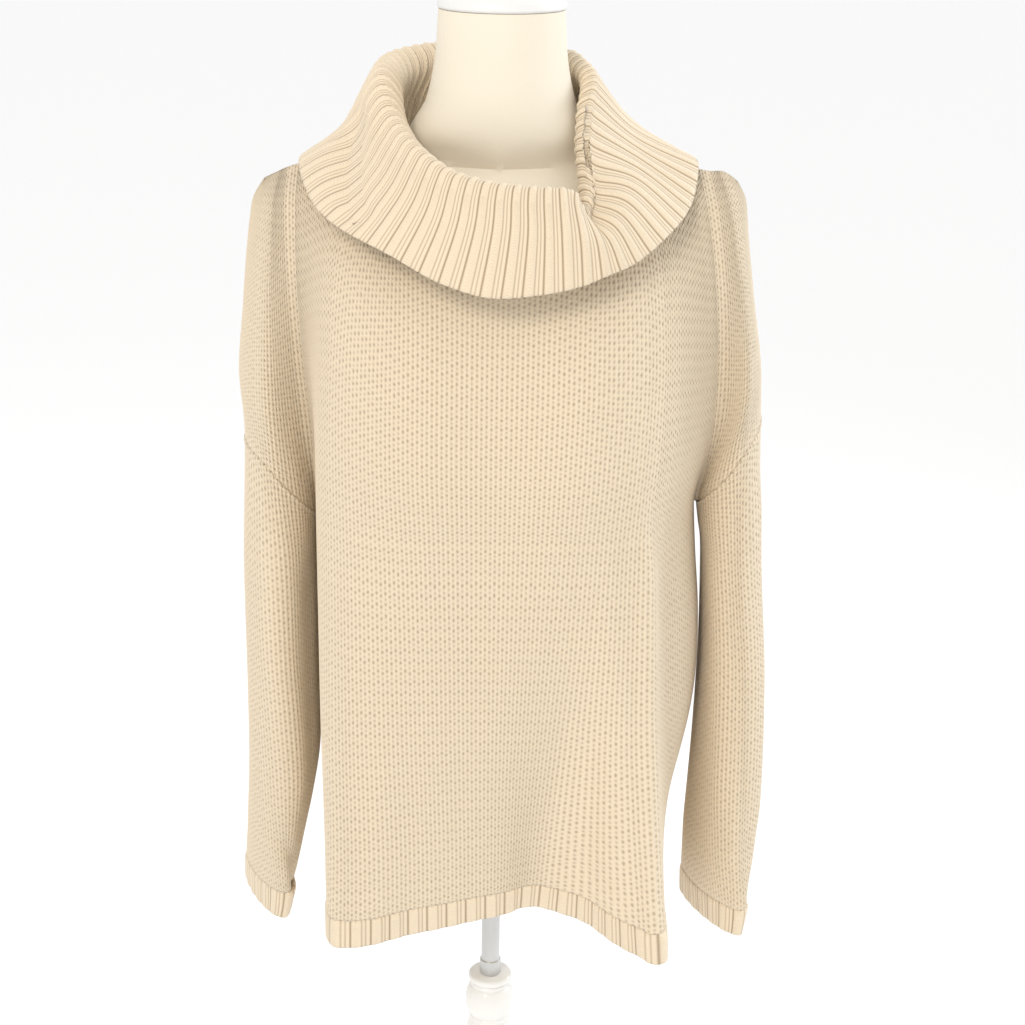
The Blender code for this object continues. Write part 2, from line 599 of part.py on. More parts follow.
def rib_piece(name, plain, ribbed, material, closed):
    """A ribbed band: one plain column and three ribbed columns for each rib, with rims at both ends."""
    rows, plain_columns = len(plain), len(plain[0])
    ribbed_columns = len(ribbed[0])
    ribs = plain_columns if closed else plain_columns - 1
    bm = bmesh.new()
    inner = [[bm.verts.new(point) for point in row] for row in plain]
    outer = [[bm.verts.new(point) for point in row] for row in ribbed]
    for j in range(rows - 1):
        for i in range(ribs):
            n = (i + 1) % plain_columns
            bm.faces.new([inner[j][n], inner[j][i], inner[j + 1][i], inner[j + 1][n]])
        for i in range(ribbed_columns if closed else ribbed_columns - 1):
            n = (i + 1) % ribbed_columns
            bm.faces.new([outer[j][i], outer[j][n], outer[j + 1][n], outer[j + 1][i]])
    for row, up in ((0, False), (rows - 1, True)):
        for i in range(ribs):
            a, b = inner[row][i], inner[row][(i + 1) % plain_columns]
            g, left, right, h = (outer[row][(3 * i + k) % ribbed_columns] for k in range(4))
            for face in ([a, left, g], [a, b, right, left], [b, h, right]):
                bm.faces.new(face[::-1] if up else face)
    if not closed:
        for j in range(rows - 1):
            bm.faces.new([inner[j][0], outer[j][0], outer[j + 1][0], inner[j + 1][0]])
            bm.faces.new([outer[j][-1], inner[j][-1], inner[j + 1][-1], outer[j + 1][-1]])
    bmesh.ops.recalc_face_normals(bm, faces=bm.faces)
    return finish_object(name, bm, material, 40)


def along_row(row, at):
    """The point at a fractional column of a row, on the straight line between two columns."""
    i = min(int(at), len(row) - 2)
    return row[i].lerp(row[i + 1], at - i)


def band_from_grid(name, skin, grid_keys, ribs, material, closed):
    """A ribbed band on the given rows of skin points, raised outside and plain inside."""
    rows = [[skin.points[key] for key in keys] for keys in grid_keys]
    normals = [[skin.normals[key] for key in keys] for keys in grid_keys]
    if closed:
        rows = [row + row[:1] for row in rows]
        normals = [row + row[:1] for row in normals]
    lengths = [0.0]
    for a, b in zip(rows[0], rows[0][1:]):
        lengths.append(lengths[-1] + (b - a).length)
    plain, ribbed = [], []
    for j, (row, out) in enumerate(zip(rows, normals)):
        other = rows[j - 1] if j else rows[1]
        pull = 3 * SEAM_PULL if j == len(rows) - 1 else 0.0
        plain_row, ribbed_row = [], []
        for rib in range(ribs + (0 if closed else 1)):
            offsets = [(0.0, 0.0)]
            if rib < ribs:
                offsets += [(share, RIB_RAISE) for share in RIB_SHOULDERS]
            for share, height in offsets:
                length = lengths[-1] * (rib + share) / ribs
                if not closed:
                    length = min(max(length, 2 * SEAM_PULL), lengths[-1] - 2 * SEAM_PULL)
                at = float(np.interp(length, lengths, range(len(lengths))))
                point = along_row(row, at)
                normal = along_row(out, at)
                point = point + (along_row(other, at) - point).normalized() * pull
                ribbed_row.append(point + normal * height)
                if share == 0.0:
                    plain_row.append(point - normal * WALL)
        plain.append(plain_row)
        ribbed.append(ribbed_row)
    return rib_piece(name, plain, ribbed, material, closed)


def steady_slopes(xs, ys):
    """Slopes of a curve that keeps between its points, for a table that closes after one turn."""
    count = len(xs)
    steps = [(ys[(i + 1) % count] - ys[i]) / ((xs[(i + 1) % count] - xs[i]) % 360.0) for i in range(count)]
    slopes = []
    for i in range(count):
        before, after = steps[i - 1], steps[i]
        slopes.append(0.0 if before * after <= 0 else 2 * before * after / (before + after))
    return slopes


def round_table(column):
    """A function of the angle through one column of the collar table."""
    xs = [row[0] for row in COLLAR]
    ys = [row[column] for row in COLLAR]
    slopes = steady_slopes(xs, ys)

    def value(angle):
        angle = (angle + 180.0) % 360.0 - 180.0
        i = max(k for k in range(len(xs)) if xs[k] <= angle + 1e-9)
        n = (i + 1) % len(xs)
        span = (xs[n] - xs[i]) % 360.0
        f = (angle - xs[i]) / span
        return (
            (1 + 2 * f) * (1 - f) ** 2 * ys[i] + f * (1 - f) ** 2 * span * slopes[i]
            + f * f * (3 - 2 * f) * ys[n] + f * f * (f - 1) * span * slopes[n]
        )

    return value


def even_angles(curve, start, count):
    """Angles that divide a closed curve into equal lengths, the first at the start angle."""
    fine = 720
    angles = [start + 360.0 * k / fine for k in range(fine + 1)]
    points = [curve(angle) for angle in angles]
    lengths = [0.0]
    for a, b in zip(points, points[1:]):
        lengths.append(lengths[-1] + (b - a).length)
    wanted = [lengths[-1] * k / count for k in range(count + 1)]
    return list(np.interp(wanted, lengths, angles))


def build_collar(skin, neckline, material):
    """The cowl: up from the neckline, over the ridge and down to the free edge on the shoulders."""
    ridge_r, ridge_z, roll, mid_r, mid_z, edge_r, edge_z = (round_table(k) for k in range(1, 8))

    def place(angle, radius, z):
        turn = math.radians(angle)
        return Vector((radius * math.sin(turn), -radius * math.cos(turn), z))

    curves = [
        lambda a: place(a, ridge_r(a) - roll(a), ridge_z(a) - 1.3 * roll(a)),
        lambda a: place(a, ridge_r(a), ridge_z(a)),
        lambda a: place(a, ridge_r(a) + roll(a), ridge_z(a) - 1.3 * roll(a)),
        lambda a: place(a, mid_r(a), mid_z(a)),
        lambda a: place(a, edge_r(a), edge_z(a)),
    ]
    start = math.degrees(math.atan2(neckline[0].x, -neckline[0].y))
    per_rib = 3
    count = COLLAR_RIBS * per_rib
    spread = []
    for k, curve in enumerate(curves):
        angles = even_angles(curve, start, COLLAR_RIBS)
        fine = []
        for rib in range(COLLAR_RIBS):
            for share in (0.0, *RIB_SHOULDERS):
                fine.append(angles[rib] + (angles[rib + 1] - angles[rib]) * share)
        twist = math.degrees(COLLAR_TWIST) * (k - 1) / 3
        spread.append([curve(angle + twist) for angle in fine])
    seam = []
    segments = len(neckline)
    for rib in range(COLLAR_RIBS):
        for share in (0.0, *RIB_SHOULDERS):
            at = (rib + share) / COLLAR_RIBS * segments
            i = min(int(at), segments - 1)
            seam.append(neckline[i].lerp(neckline[(i + 1) % segments], at - i) + Vector((0, 0, 2 * SEAM_PULL)))
    low = [a.lerp(b, 0.5) + Vector((a.x, a.y, 0)).normalized() * 0.003 for a, b in zip(seam, spread[0])]
    controls = np.array([[tuple(p) for p in row] for row in [seam, low] + spread])
    rows_at = [6 * k / COLLAR_ROWS for k in range(COLLAR_ROWS + 1)]
    grid = shape_of(controls, rows_at)
    rows = grid.shape[0]
    along = np.roll(grid, -1, axis=1) - np.roll(grid, 1, axis=1)
    up = np.empty_like(grid)
    up[1:-1] = grid[2:] - grid[:-2]
    up[0] = grid[1] - grid[0]
    up[-1] = grid[-1] - grid[-2]
    # The visible side is the one that faces the neck at first and faces out beyond the ridge.
    out = np.cross(up, along)
    out = out / np.linalg.norm(out, axis=-1, keepdims=True)
    ribbed, plain = [], []
    for j in range(rows):
        ribbed_row, plain_row = [], []
        for i in range(count):
            base = Vector(grid[j][i])
            normal = Vector(out[j][i])
            height = WALL + (RIB_RAISE if i % per_rib else 0.0)
            ribbed_row.append(base + normal * height)
            if i % per_rib == 0:
                plain_row.append(base)
        ribbed.append(ribbed_row)
        plain.append(plain_row)
    return rib_piece("cowl_collar", plain, ribbed, material, True)


def build_form(material):
    """The limbless torso with its neck, one smooth body with a flat underside."""
    table = sorted(FORM)
    zs = [row[0] for row in table]
    heights = []
    for low, high in zip(zs, zs[1:]):
        steps = max(1, round((high - low) / 0.045))
        heights += [low + (high - low) * k / steps for k in range(steps)]
    heights.append(zs[-1])
    index = np.interp(heights, zs, range(len(zs)))
    rows = smooth_line([row[1:] for row in table], index)
    bm = bmesh.new()
    rings = []
    for z, (half, front, back, power) in zip(heights, rows):
        ring = []
        for k in range(FORM_SEGMENTS):
            angle = 2 * math.pi * k / FORM_SEGMENTS
            c, s = math.cos(angle), math.sin(angle)
            x = half * math.copysign(abs(c) ** (2 / power), c)
            depth = back if s > 0 else -front
            y = depth * math.copysign(abs(s) ** (2 / power), s)
            ring.append(bm.verts.new((x, y, z)))
        rings.append(ring)
    for low, high in zip(rings, rings[1:]):
        for k in range(FORM_SEGMENTS):
            n = (k + 1) % FORM_SEGMENTS
            bm.faces.new([low[k], low[n], high[n], high[k]])
    bm.faces.new(rings[0][::-1])
    bm.faces.new(rings[-1])
    return finish_object("dress_form", bm, material, 50)


def turned(name, profile, material, smooth_angle=35, segments=TURN_SEGMENTS):
    """A round piece from (radius, z) points, top to bottom, closed by flat ends."""
    bm = bmesh.new()
    rings = []
    for radius, z in profile:
        ring = []
        for k in range(segments):
            angle = 2 * math.pi * k / segments
            ring.append(bm.verts.new((radius * math.cos(angle), radius * math.sin(angle), z)))
        rings.append(ring)
    for high, low in zip(rings, rings[1:]):
        for k in range(segments):
            n = (k + 1) % segments
            bm.faces.new([low[k], low[n], high[n], high[k]])
    bm.faces.new(rings[0])
    bm.faces.new(rings[-1][::-1])
    return finish_object(name, bm, material, smooth_angle)


def build_stand(materials):
    turned("neck_cap", CAP_PROFILE, materials["cap"])
    pole = [
        (POLE_RADIUS, POLE_TOP_Z), (POLE_RADIUS, BUSH_TOP_Z), (BUSH_RADIUS, BUSH_TOP_Z - 0.001),
        (BUSH_RADIUS, POLE_BOTTOM_Z),
    ]
    turned("stand_pole", pole, materials["pole"], segments=24)
    turned("stand_column", COLUMN, materials["painted_wood"])
    turned("stand_base", BASE_PROFILE, materials["painted_wood"], segments=36)


def main():
    clear_scene()
    materials = make_materials()
    body_grid, upper_grid, sleeve_grids, columns, n_front, n_back = lay_out()
    front, back, upper = folded(body_grid, upper_grid, columns, n_front, n_back)
    skin = Skin()
    hem_row = 2
    keys = {}
    keys["hem_front"] = skin.add_grid("hem_rib_front", front[:hem_row + 1])
    keys["hem_back"] = skin.add_grid("hem_rib_back", back[:hem_row + 1])
    keys["front"] = skin.add_grid("front_panel", front[hem_row:])
    keys["back"] = skin.add_grid("back_panel", back[hem_row:])
    front_columns = columns["left_front"] + columns["body_front"] + columns["right_front"]
    back_columns = columns["right_back"] + columns["body_back"] + columns["left_back"]
    keys["upper_front"] = skin.add_grid("front_panel", upper[:, front_columns])
    keys["upper_back"] = skin.add_grid("back_panel", upper[:, back_columns])
    cuff_row = 2
    for name in ("left", "right"):
        grid = sleeve_grids[name]
        if name == "left":
            grid = grid[:, ::-1]
        keys["cuff_" + name] = skin.add_grid("cuff_" + name, grid[:cuff_row + 1], closed=True)
        keys["sleeve_" + name] = skin.add_grid("sleeve_" + name, grid[cuff_row:], closed=True)
    skin.find_normals()

    for name in ("front_panel", "back_panel", "sleeve_left", "sleeve_right"):
        cloth_piece(name, skin, skin.quads[name], materials["knit"])
    band_from_grid("hem_rib_front", skin, keys["hem_front"], HEM_RIBS_FRONT, materials["rib"], False)
    band_from_grid("hem_rib_back", skin, keys["hem_back"], HEM_RIBS_BACK, materials["rib"], False)
    band_from_grid("cuff_left", skin, keys["cuff_left"], CUFF_RIBS, materials["rib"], True)
    band_from_grid("cuff_right", skin, keys["cuff_right"], CUFF_RIBS, materials["rib"], True)

    arms = 2 * ARM_SEGMENTS
    corner, neck_front, neck_back = FRONT_SEGMENTS[0], sum(FRONT_SEGMENTS[1:-1]), sum(BACK_SEGMENTS[1:-1])
    top_front = [skin.points[key] for key in keys["upper_front"][-1]]
    top_back = [skin.points[key] for key in keys["upper_back"][-1]]
    first = arms + 1 + corner
    neckline = top_front[first:first + neck_front + 1] + top_back[first + 1:first + neck_back]
    build_collar(skin, neckline, materials["rib"])
    build_form(materials["jersey"])
    build_stand(materials)


main()
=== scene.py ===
"""A cowl neck sweater on a limbless dress form with a turned stand, dressed for a studio picture.

Metres, Z up, the sweater's front faces -Y. Left and right are those of the picture. Each cloth piece is a
closed shell: a fine outer face with its stitches and ribs in relief, and a plainer inner face.
"""

from __future__ import annotations

import logging
import math
from dataclasses import dataclass, field
from enum import Enum
from typing import Callable, Sequence

import bmesh
import bpy
import numpy as np
from mathutils import Matrix, Vector

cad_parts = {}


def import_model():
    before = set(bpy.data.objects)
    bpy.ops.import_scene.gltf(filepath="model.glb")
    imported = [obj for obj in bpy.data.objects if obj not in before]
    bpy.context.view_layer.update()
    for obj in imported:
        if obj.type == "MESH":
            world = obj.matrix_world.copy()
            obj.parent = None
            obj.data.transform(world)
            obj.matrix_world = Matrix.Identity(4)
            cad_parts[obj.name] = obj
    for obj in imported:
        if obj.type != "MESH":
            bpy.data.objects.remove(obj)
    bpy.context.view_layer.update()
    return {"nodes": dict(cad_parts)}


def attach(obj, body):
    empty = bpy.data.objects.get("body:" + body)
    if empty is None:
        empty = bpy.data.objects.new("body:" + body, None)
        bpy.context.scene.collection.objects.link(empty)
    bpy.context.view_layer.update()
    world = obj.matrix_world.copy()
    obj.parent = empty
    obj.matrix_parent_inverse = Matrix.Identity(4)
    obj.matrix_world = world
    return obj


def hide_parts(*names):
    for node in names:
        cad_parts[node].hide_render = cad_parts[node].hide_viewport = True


LOG = logging.getLogger("sweater")

Points = np.ndarray
Socket = bpy.types.NodeSocket

# Height of one course of the ribs' stitches
COURSE = 0.0025

# The picture's frame and the camera that fits the object in it
IMAGE_SIZE = 1025
FOCAL_PIXELS = 1948.0
CAMERA_PLACE = (0.015, -1.65, 1.564)
CAMERA_PITCH = math.radians(19.66)
CAMERA_ROLL = math.radians(0.886)

# Body sections below the underarm, from the hem up. Front points go from left to right.
BODY_FRONT = (
    # z, side_l x, y, corner_l x, y, mid_l x, y, centre y, mid_r x, y, corner_r x, y, side_r x, y
    (0.605, -0.149, 0.000, -0.139, -0.128, -0.070, -0.112, -0.092,
     0.050, -0.078, 0.153, -0.147, 0.138, 0.010),
    (0.700, -0.152, 0.000, -0.138, -0.122, -0.070, -0.117, -0.106,
     0.055, -0.096, 0.145, -0.124, 0.168, 0.015),
    (0.800, -0.156, 0.000, -0.139, -0.113, -0.072, -0.122, -0.118,
     0.062, -0.112, 0.138, -0.109, 0.186, 0.010),
    (0.890, -0.156, 0.000, -0.139, -0.106, -0.073, -0.126, -0.124,
     0.068, -0.121, 0.134, -0.104, 0.186, 0.008),
)

# Body sections below the underarm, the back's points. The side points are the front's.
BODY_BACK = (
    # z, corner_l x, y, mid_l y, centre y, mid_r y, corner_r x, y
    (0.605, -0.158, 0.092, 0.126, 0.122, 0.124, 0.128, 0.098),
    (0.700, -0.156, 0.088, 0.124, 0.124, 0.124, 0.140, 0.094),
    (0.800, -0.152, 0.084, 0.118, 0.122, 0.119, 0.148, 0.088),
    (0.890, -0.148, 0.082, 0.112, 0.117, 0.113, 0.146, 0.085),
)

# Heights of each column above the underarm
UPPER_ENDS = (
    # z at the underarm level, z at the shoulder seam or front neckline, z at the back neckline
    (1.0480, 1.2722, 1.2722),  # outer edge of the left arm
    (1.0300, 1.2775, 1.2775),
    (0.9720, 1.2845, 1.2845),  # left underarm
    (0.9850, 1.3025, 1.3025),
    (0.9850, 1.2550, 1.3030),
    (0.9850, 1.2340, 1.3010),  # middle
    (0.9850, 1.2550, 1.3030),
    (0.9850, 1.3025, 1.3025),
    (0.9850, 1.2850, 1.2850),  # right underarm
    (1.0420, 1.2835, 1.2835),
    (1.0720, 1.2755, 1.2755),  # outer edge of the right arm
)

# Sections from the underarm level (share 0) to the shoulder seam and neckline (share 1), front
UPPER_FRONT = (
    # share, then x, y of outer_l, arm_l, side_l, corner_l, mid_l, centre,
    # mid_r, corner_r, side_r, arm_r, outer_r
    (0.00, -0.2225, 0.003, -0.1970, -0.052, -0.1585, 0.000, -0.139, -0.098, -0.075, -0.131, 0.0, -0.130,
     0.072, -0.130, 0.131, -0.102, 0.1800, 0.012, 0.2120, -0.045, 0.2320, 0.005),
    (0.25, -0.2265, 0.003, -0.1990, -0.058, -0.1615, -0.022, -0.139, -0.100, -0.077, -0.138, 0.0, -0.132,
     0.075, -0.138, 0.137, -0.106, 0.1890, -0.024, 0.2150, -0.052, 0.2290, 0.004),
    (0.50, -0.2215, 0.003, -0.1980, -0.056, -0.1670, -0.038, -0.138, -0.092, -0.077, -0.131, 0.0, -0.126,
     0.077, -0.131, 0.139, -0.095, 0.1890, -0.038, 0.2110, -0.050, 0.2205, 0.003),
    (0.75, -0.2160, 0.003, -0.1960, -0.046, -0.1700, -0.049, -0.132, -0.076, -0.077, -0.112, 0.0, -0.116,
     0.077, -0.112, 0.133, -0.078, 0.1820, -0.049, 0.2030, -0.044, 0.2135, 0.003),
    (0.93, -0.2095, 0.003, -0.1935, -0.025, -0.1715, -0.030, -0.117, -0.042, -0.078, -0.086, 0.0, -0.105,
     0.078, -0.086, 0.118, -0.042, 0.1740, -0.030, 0.1955, -0.026, 0.2090, 0.003),
    (1.00, -0.2000, 0.003, -0.1890, 0.003, -0.1720, 0.003, -0.110, 0.000, -0.083, -0.075, 0.0, -0.101,
     0.083, -0.075, 0.110, 0.000, 0.1700, 0.003, 0.1890, 0.003, 0.2015, 0.003),
)

# The same sections, back
UPPER_BACK = (
    # share, then x, y of arm_l, side_l, corner_l, mid_l, centre, mid_r, corner_r, side_r, arm_r
    (0.00, -0.1960, 0.052, -0.1585, 0.000, -0.144, 0.084, -0.075, 0.112, 0.0, 0.116,
     0.075, 0.112, 0.144, 0.086, 0.1800, 0.012, 0.2080, 0.060),
    (0.25, -0.1970, 0.056, -0.1600, 0.026, -0.143, 0.084, -0.077, 0.112, 0.0, 0.115,
     0.077, 0.112, 0.143, 0.085, 0.1840, 0.036, 0.2080, 0.060),
    (0.50, -0.1960, 0.053, -0.1650, 0.040, -0.140, 0.082, -0.077, 0.111, 0.0, 0.113,
     0.077, 0.111, 0.140, 0.083, 0.1810, 0.044, 0.2050, 0.055),
    (0.75, -0.1940, 0.046, -0.1690, 0.048, -0.134, 0.070, -0.077, 0.101, 0.0, 0.105,
     0.077, 0.101, 0.134, 0.070, 0.1770, 0.049, 0.2000, 0.047),
    (0.93, -0.1925, 0.028, -0.1710, 0.032, -0.117, 0.040, -0.077, 0.078, 0.0, 0.086,
     0.077, 0.078, 0.117, 0.040, 0.1720, 0.032, 0.1950, 0.028),
    (1.00, -0.1890, 0.003, -0.1720, 0.003, -0.110, 0.000, -0.078, 0.060, 0.0, 0.080,
     0.078, 0.060, 0.110, 0.000, 0.1700, 0.003, 0.1890, 0.003),
)

# Sleeve sections from the cuff's free edge up
SLEEVE_LEFT = (
    # z, centre x, centre y, half width across, half width along, twist in degrees
    (0.578, -0.2170, 0.004, 0.0125, 0.0500, 26.0),
    (0.606, -0.2130, 0.004, 0.0170, 0.0520, 26.0),
    (0.660, -0.2060, 0.003, 0.0260, 0.0540, 18.0),
    (0.740, -0.1960, 0.002, 0.0330, 0.0560, 8.0),
    (0.840, -0.1950, 0.002, 0.0330, 0.0580, 3.0),
    (0.940, -0.1940, 0.002, 0.0330, 0.0560, 0.0),
)
SLEEVE_RIGHT = (
    # z, centre x, centre y, half width across, half width along, twist in degrees
    (0.578, 0.2110, -0.014, 0.0130, 0.0510, 27.0),
    (0.606, 0.2130, -0.012, 0.0180, 0.0530, 26.0),
    (0.660, 0.2150, -0.006, 0.0255, 0.0550, 20.0),
    (0.740, 0.2180, 0.002, 0.0270, 0.0570, 14.0),
    (0.840, 0.2180, 0.010, 0.0260, 0.0590, 9.0),
    (0.940, 0.2130, 0.012, 0.0250, 0.0560, 5.0),
)

# The collar's hidden side, station by station. The angle runs from the front towards the right.
COLLAR = (
    # angle, ridge radius, ridge z, half thickness of the roll, mid radius, mid z, edge radius, edge z
    (-180.0, 0.098, 1.374, 0.0080, 0.122, 1.325, 0.134, 1.276),
    (-150.0, 0.106, 1.374, 0.0090, 0.132, 1.327, 0.146, 1.276),
    (-125.0, 0.106, 1.371, 0.0110, 0.134, 1.323, 0.158, 1.277),
    (-90.0, 0.099, 1.362, 0.0130, 0.127, 1.314, 0.168, 1.2875),
    (-62.0, 0.098, 1.330, 0.0110, 0.126, 1.292, 0.162, 1.256),
    (-35.0, 0.108, 1.309, 0.0090, 0.133, 1.275, 0.154, 1.236),
    (-16.0, 0.117, 1.295, 0.0075, 0.137, 1.260, 0.149, 1.215),
    (0.0, 0.121, 1.289, 0.0070, 0.138, 1.255, 0.148, 1.206),
    (14.0, 0.124, 1.286, 0.0070, 0.140, 1.252, 0.150, 1.209),
    (26.0, 0.127, 1.284, 0.0060, 0.147, 1.250, 0.154, 1.215),
    (34.0, 0.121, 1.266, 0.0060, 0.148, 1.2465, 0.158, 1.222),
    (42.0, 0.109, 1.279, 0.0065, 0.142, 1.258, 0.161, 1.228),
    (54.0, 0.087, 1.321, 0.0060, 0.132, 1.278, 0.164, 1.243),
    (70.0, 0.078, 1.346, 0.0055, 0.122, 1.295, 0.166, 1.262),
    (90.0, 0.076, 1.358, 0.0055, 0.112, 1.314, 0.166, 1.2895),
    (115.0, 0.077, 1.366, 0.0060, 0.112, 1.322, 0.155, 1.281),
    (140.0, 0.087, 1.372, 0.0070, 0.118, 1.325, 0.142, 1.278),
)

# Dress form sections from the neck's top down
FORM = (
    # z, half width, front y, back y, roundness
    (1.4150, 0.0526, -0.0520, 0.0480, 2.0),
    (1.3730, 0.0555, -0.0545, 0.0500, 2.0),
    (1.3400, 0.0630, -0.0580, 0.0520, 2.0),
    (1.3180, 0.0765, -0.0575, 0.0530, 1.9),
    (1.3060, 0.0865, -0.0550, 0.0530, 1.6),
    (1.2970, 0.1005, -0.0520, 0.0535, 1.3),
    (1.2905, 0.1250, -0.0480, 0.0535, 1.2),
    (1.2860, 0.1480, -0.0495, 0.0535, 1.2),
    (1.2836, 0.1580, -0.0515, 0.0545, 1.2),
    (1.2800, 0.1660, -0.0550, 0.0565, 1.25),
    (1.2680, 0.1765, -0.0660, 0.0620, 1.4),
    (1.2400, 0.1790, -0.0790, 0.0730, 1.7),
    (1.2000, 0.1720, -0.0940, 0.0840, 2.0),
    (1.1400, 0.1600, -0.1090, 0.0940, 2.1),
    (1.0900, 0.1500, -0.1180, 0.0980, 2.2),
    (1.0200, 0.1360, -0.1120, 0.0960, 2.2),
    (0.9000, 0.1180, -0.0900, 0.0840, 2.1),
    (0.8200, 0.1290, -0.0900, 0.0920, 2.2),
    (0.7400, 0.1400, -0.0880, 0.0980, 2.3),
    (0.6900, 0.1380, -0.0840, 0.0960, 2.3),
    (0.6680, 0.1320, -0.0790, 0.0910, 2.3),
)

# The knob and column of the stand
COLUMN = (
    # radius, z from the knob's top down to the foot
    (0.0195, 0.4960), (0.0210, 0.4945), (0.0210, 0.4905), (0.0195, 0.4890), (0.0170, 0.4880),
    (0.0190, 0.4865), (0.0192, 0.4845), (0.0178, 0.4830), (0.0205, 0.4810), (0.0228, 0.4760),
    (0.0240, 0.4690), (0.0238, 0.4620), (0.0222, 0.4560), (0.0198, 0.4520), (0.0186, 0.4505),
    (0.0202, 0.4490), (0.0202, 0.4465), (0.0186, 0.4450), (0.0205, 0.4420), (0.0228, 0.4340),
    (0.0235, 0.4250), (0.0235, 0.0600), (0.0250, 0.0480), (0.0290, 0.0360), (0.0340, 0.0263),
)


class Face(Enum):
    """The two halves of the body."""

    FRONT = "front"
    BACK = "back"


class Side(Enum):
    """The two sides of the picture, with the sign of x."""

    LEFT = -1
    RIGHT = 1


@dataclass(frozen=True)
class Crease:
    """A soft ridge (or trough, where the height is negative) down one face of the body.

    The line runs through its points (x, z) from the top down, and dies away at both ends.
    """

    face: Face
    line: tuple[tuple[float, float], ...]
    height: float
    half_width: float
    fade: float = 0.10


CREASES = (
    Crease(Face.FRONT, ((0.126, 1.040), (0.134, 0.860), (0.141, 0.720), (0.149, 0.600)), 0.0075, 0.0085),
    Crease(Face.FRONT, ((0.152, 1.010), (0.160, 0.850), (0.166, 0.700)), -0.0050, 0.0120),
    Crease(Face.FRONT, ((-0.150, 1.150), (-0.148, 0.900), (-0.140, 0.600)), 0.0040, 0.0090),
    Crease(Face.FRONT, ((0.072, 0.880), (0.079, 0.760), (0.085, 0.600)), -0.0065, 0.0210),
    Crease(Face.FRONT, ((-0.030, 1.020), (-0.026, 0.900), (-0.020, 0.780)), -0.0030, 0.0280),
    Crease(Face.FRONT, ((0.030, 0.800), (0.020, 0.700), (0.015, 0.600)), 0.0025, 0.0180),
    Crease(Face.FRONT, ((-0.100, 0.960), (-0.095, 0.800), (-0.100, 0.640)), 0.0022, 0.0200),
    Crease(Face.BACK, ((0.060, 1.150), (0.066, 0.900), (0.075, 0.600)), 0.0050, 0.0230),
    Crease(Face.BACK, ((-0.050, 1.060), (-0.056, 0.850), (-0.065, 0.600)), -0.0060, 0.0240),
    Crease(Face.BACK, ((-0.110, 1.000), (-0.116, 0.800), (-0.125, 0.600)), 0.0050, 0.0190),
    Crease(Face.BACK, ((0.010, 0.900), (0.012, 0.760), (0.015, 0.600)), -0.0040, 0.0220),
    Crease(Face.BACK, ((0.118, 1.060), (0.122, 0.900), (0.126, 0.720)), -0.0035, 0.0150),
)


@dataclass(frozen=True)
class SleeveCrease:
    """A soft ridge or trough on a sleeve, from a turn round the tube and height to another.

    Turns are shares of the way round, from the side next to the body over the front.
    """

    side: Side
    line: tuple[tuple[float, float], ...]
    height: float
    half_width: float


SLEEVE_CREASES = (
    SleeveCrease(Side.LEFT, ((0.30, 1.000), (0.33, 0.860), (0.28, 0.720)), 0.0030, 0.060),
    SleeveCrease(Side.LEFT, ((0.18, 0.960), (0.20, 0.800), (0.24, 0.640)), -0.0030, 0.050),
    SleeveCrease(Side.LEFT, ((0.42, 0.700), (0.30, 0.640), (0.22, 0.590)), -0.0040, 0.050),
    SleeveCrease(Side.LEFT, ((0.70, 0.980), (0.66, 0.820), (0.72, 0.680)), -0.0035, 0.070),
    SleeveCrease(Side.RIGHT, ((0.24, 1.040), (0.22, 0.900), (0.24, 0.760), (0.28, 0.640)), -0.0045, 0.055),
    SleeveCrease(Side.RIGHT, ((0.36, 1.040), (0.35, 0.900), (0.36, 0.700)), 0.0030, 0.055),
    SleeveCrease(Side.RIGHT, ((0.12, 0.980), (0.12, 0.860), (0.14, 0.720)), 0.0025, 0.050),
    SleeveCrease(Side.RIGHT, ((0.40, 0.680), (0.28, 0.630), (0.20, 0.590)), 0.0030, 0.045),
    SleeveCrease(Side.RIGHT, ((0.72, 1.000), (0.68, 0.860), (0.74, 0.700)), -0.0035, 0.070),
)


def smooth_line(points: Points, at: Sequence[float], axis: int = 0, closed: bool = False) -> Points:
    """Points on the smooth curve through rows of points.

    Args:
        points: Values whose given axis is the row of control points.
        at: Fractional indices along that axis.
        axis: The axis to run along.
        closed: True where the last point joins the first.

    Returns:
        The values at those indices, along the same axis.
    """
    values = np.moveaxis(np.asarray(points, float), axis, 0)
    count = len(values)
    where = np.asarray(at, float)
    low = np.floor(where + 1e-9).astype(int)
    if closed:
        a, b, c, d = (values[(low + k) % count] for k in (-1, 0, 1, 2))
    else:
        low = np.clip(low, 0, count - 2)
        wide = np.concatenate([2 * values[:1] - values[1:2], values, 2 * values[-1:] - values[-2:-1]])
        a, b, c, d = (wide[low + k] for k in (0, 1, 2, 3))
    f = (where - low).reshape(-1, *[1] * (values.ndim - 1))
    found = 0.5 * (
        2 * b + (c - a) * f + (2 * a - 5 * b + 4 * c - d) * f**2 + (3 * b - a - 3 * c + d) * f**3
    )
    return np.moveaxis(found, 0, axis)


def even_steps(lengths: Sequence[float], count: int) -> Points:
    """Fractional indices that divide a line with these segment lengths into equal steps.

    Args:
        lengths: The length of each segment.
        count: How many steps to make.

    Returns:
        count + 1 fractional indices.
    """
    total = np.concatenate([[0.0], np.cumsum(lengths)])
    return np.interp(np.linspace(0.0, total[-1], count + 1), total, np.arange(len(total)))


def divided(segments: Sequence[int]) -> list[float]:
    """Fractional indices that divide each span into its number of segments."""
    at = [i + k / n for i, n in enumerate(segments) for k in range(n)]
    return at + [float(len(segments))]


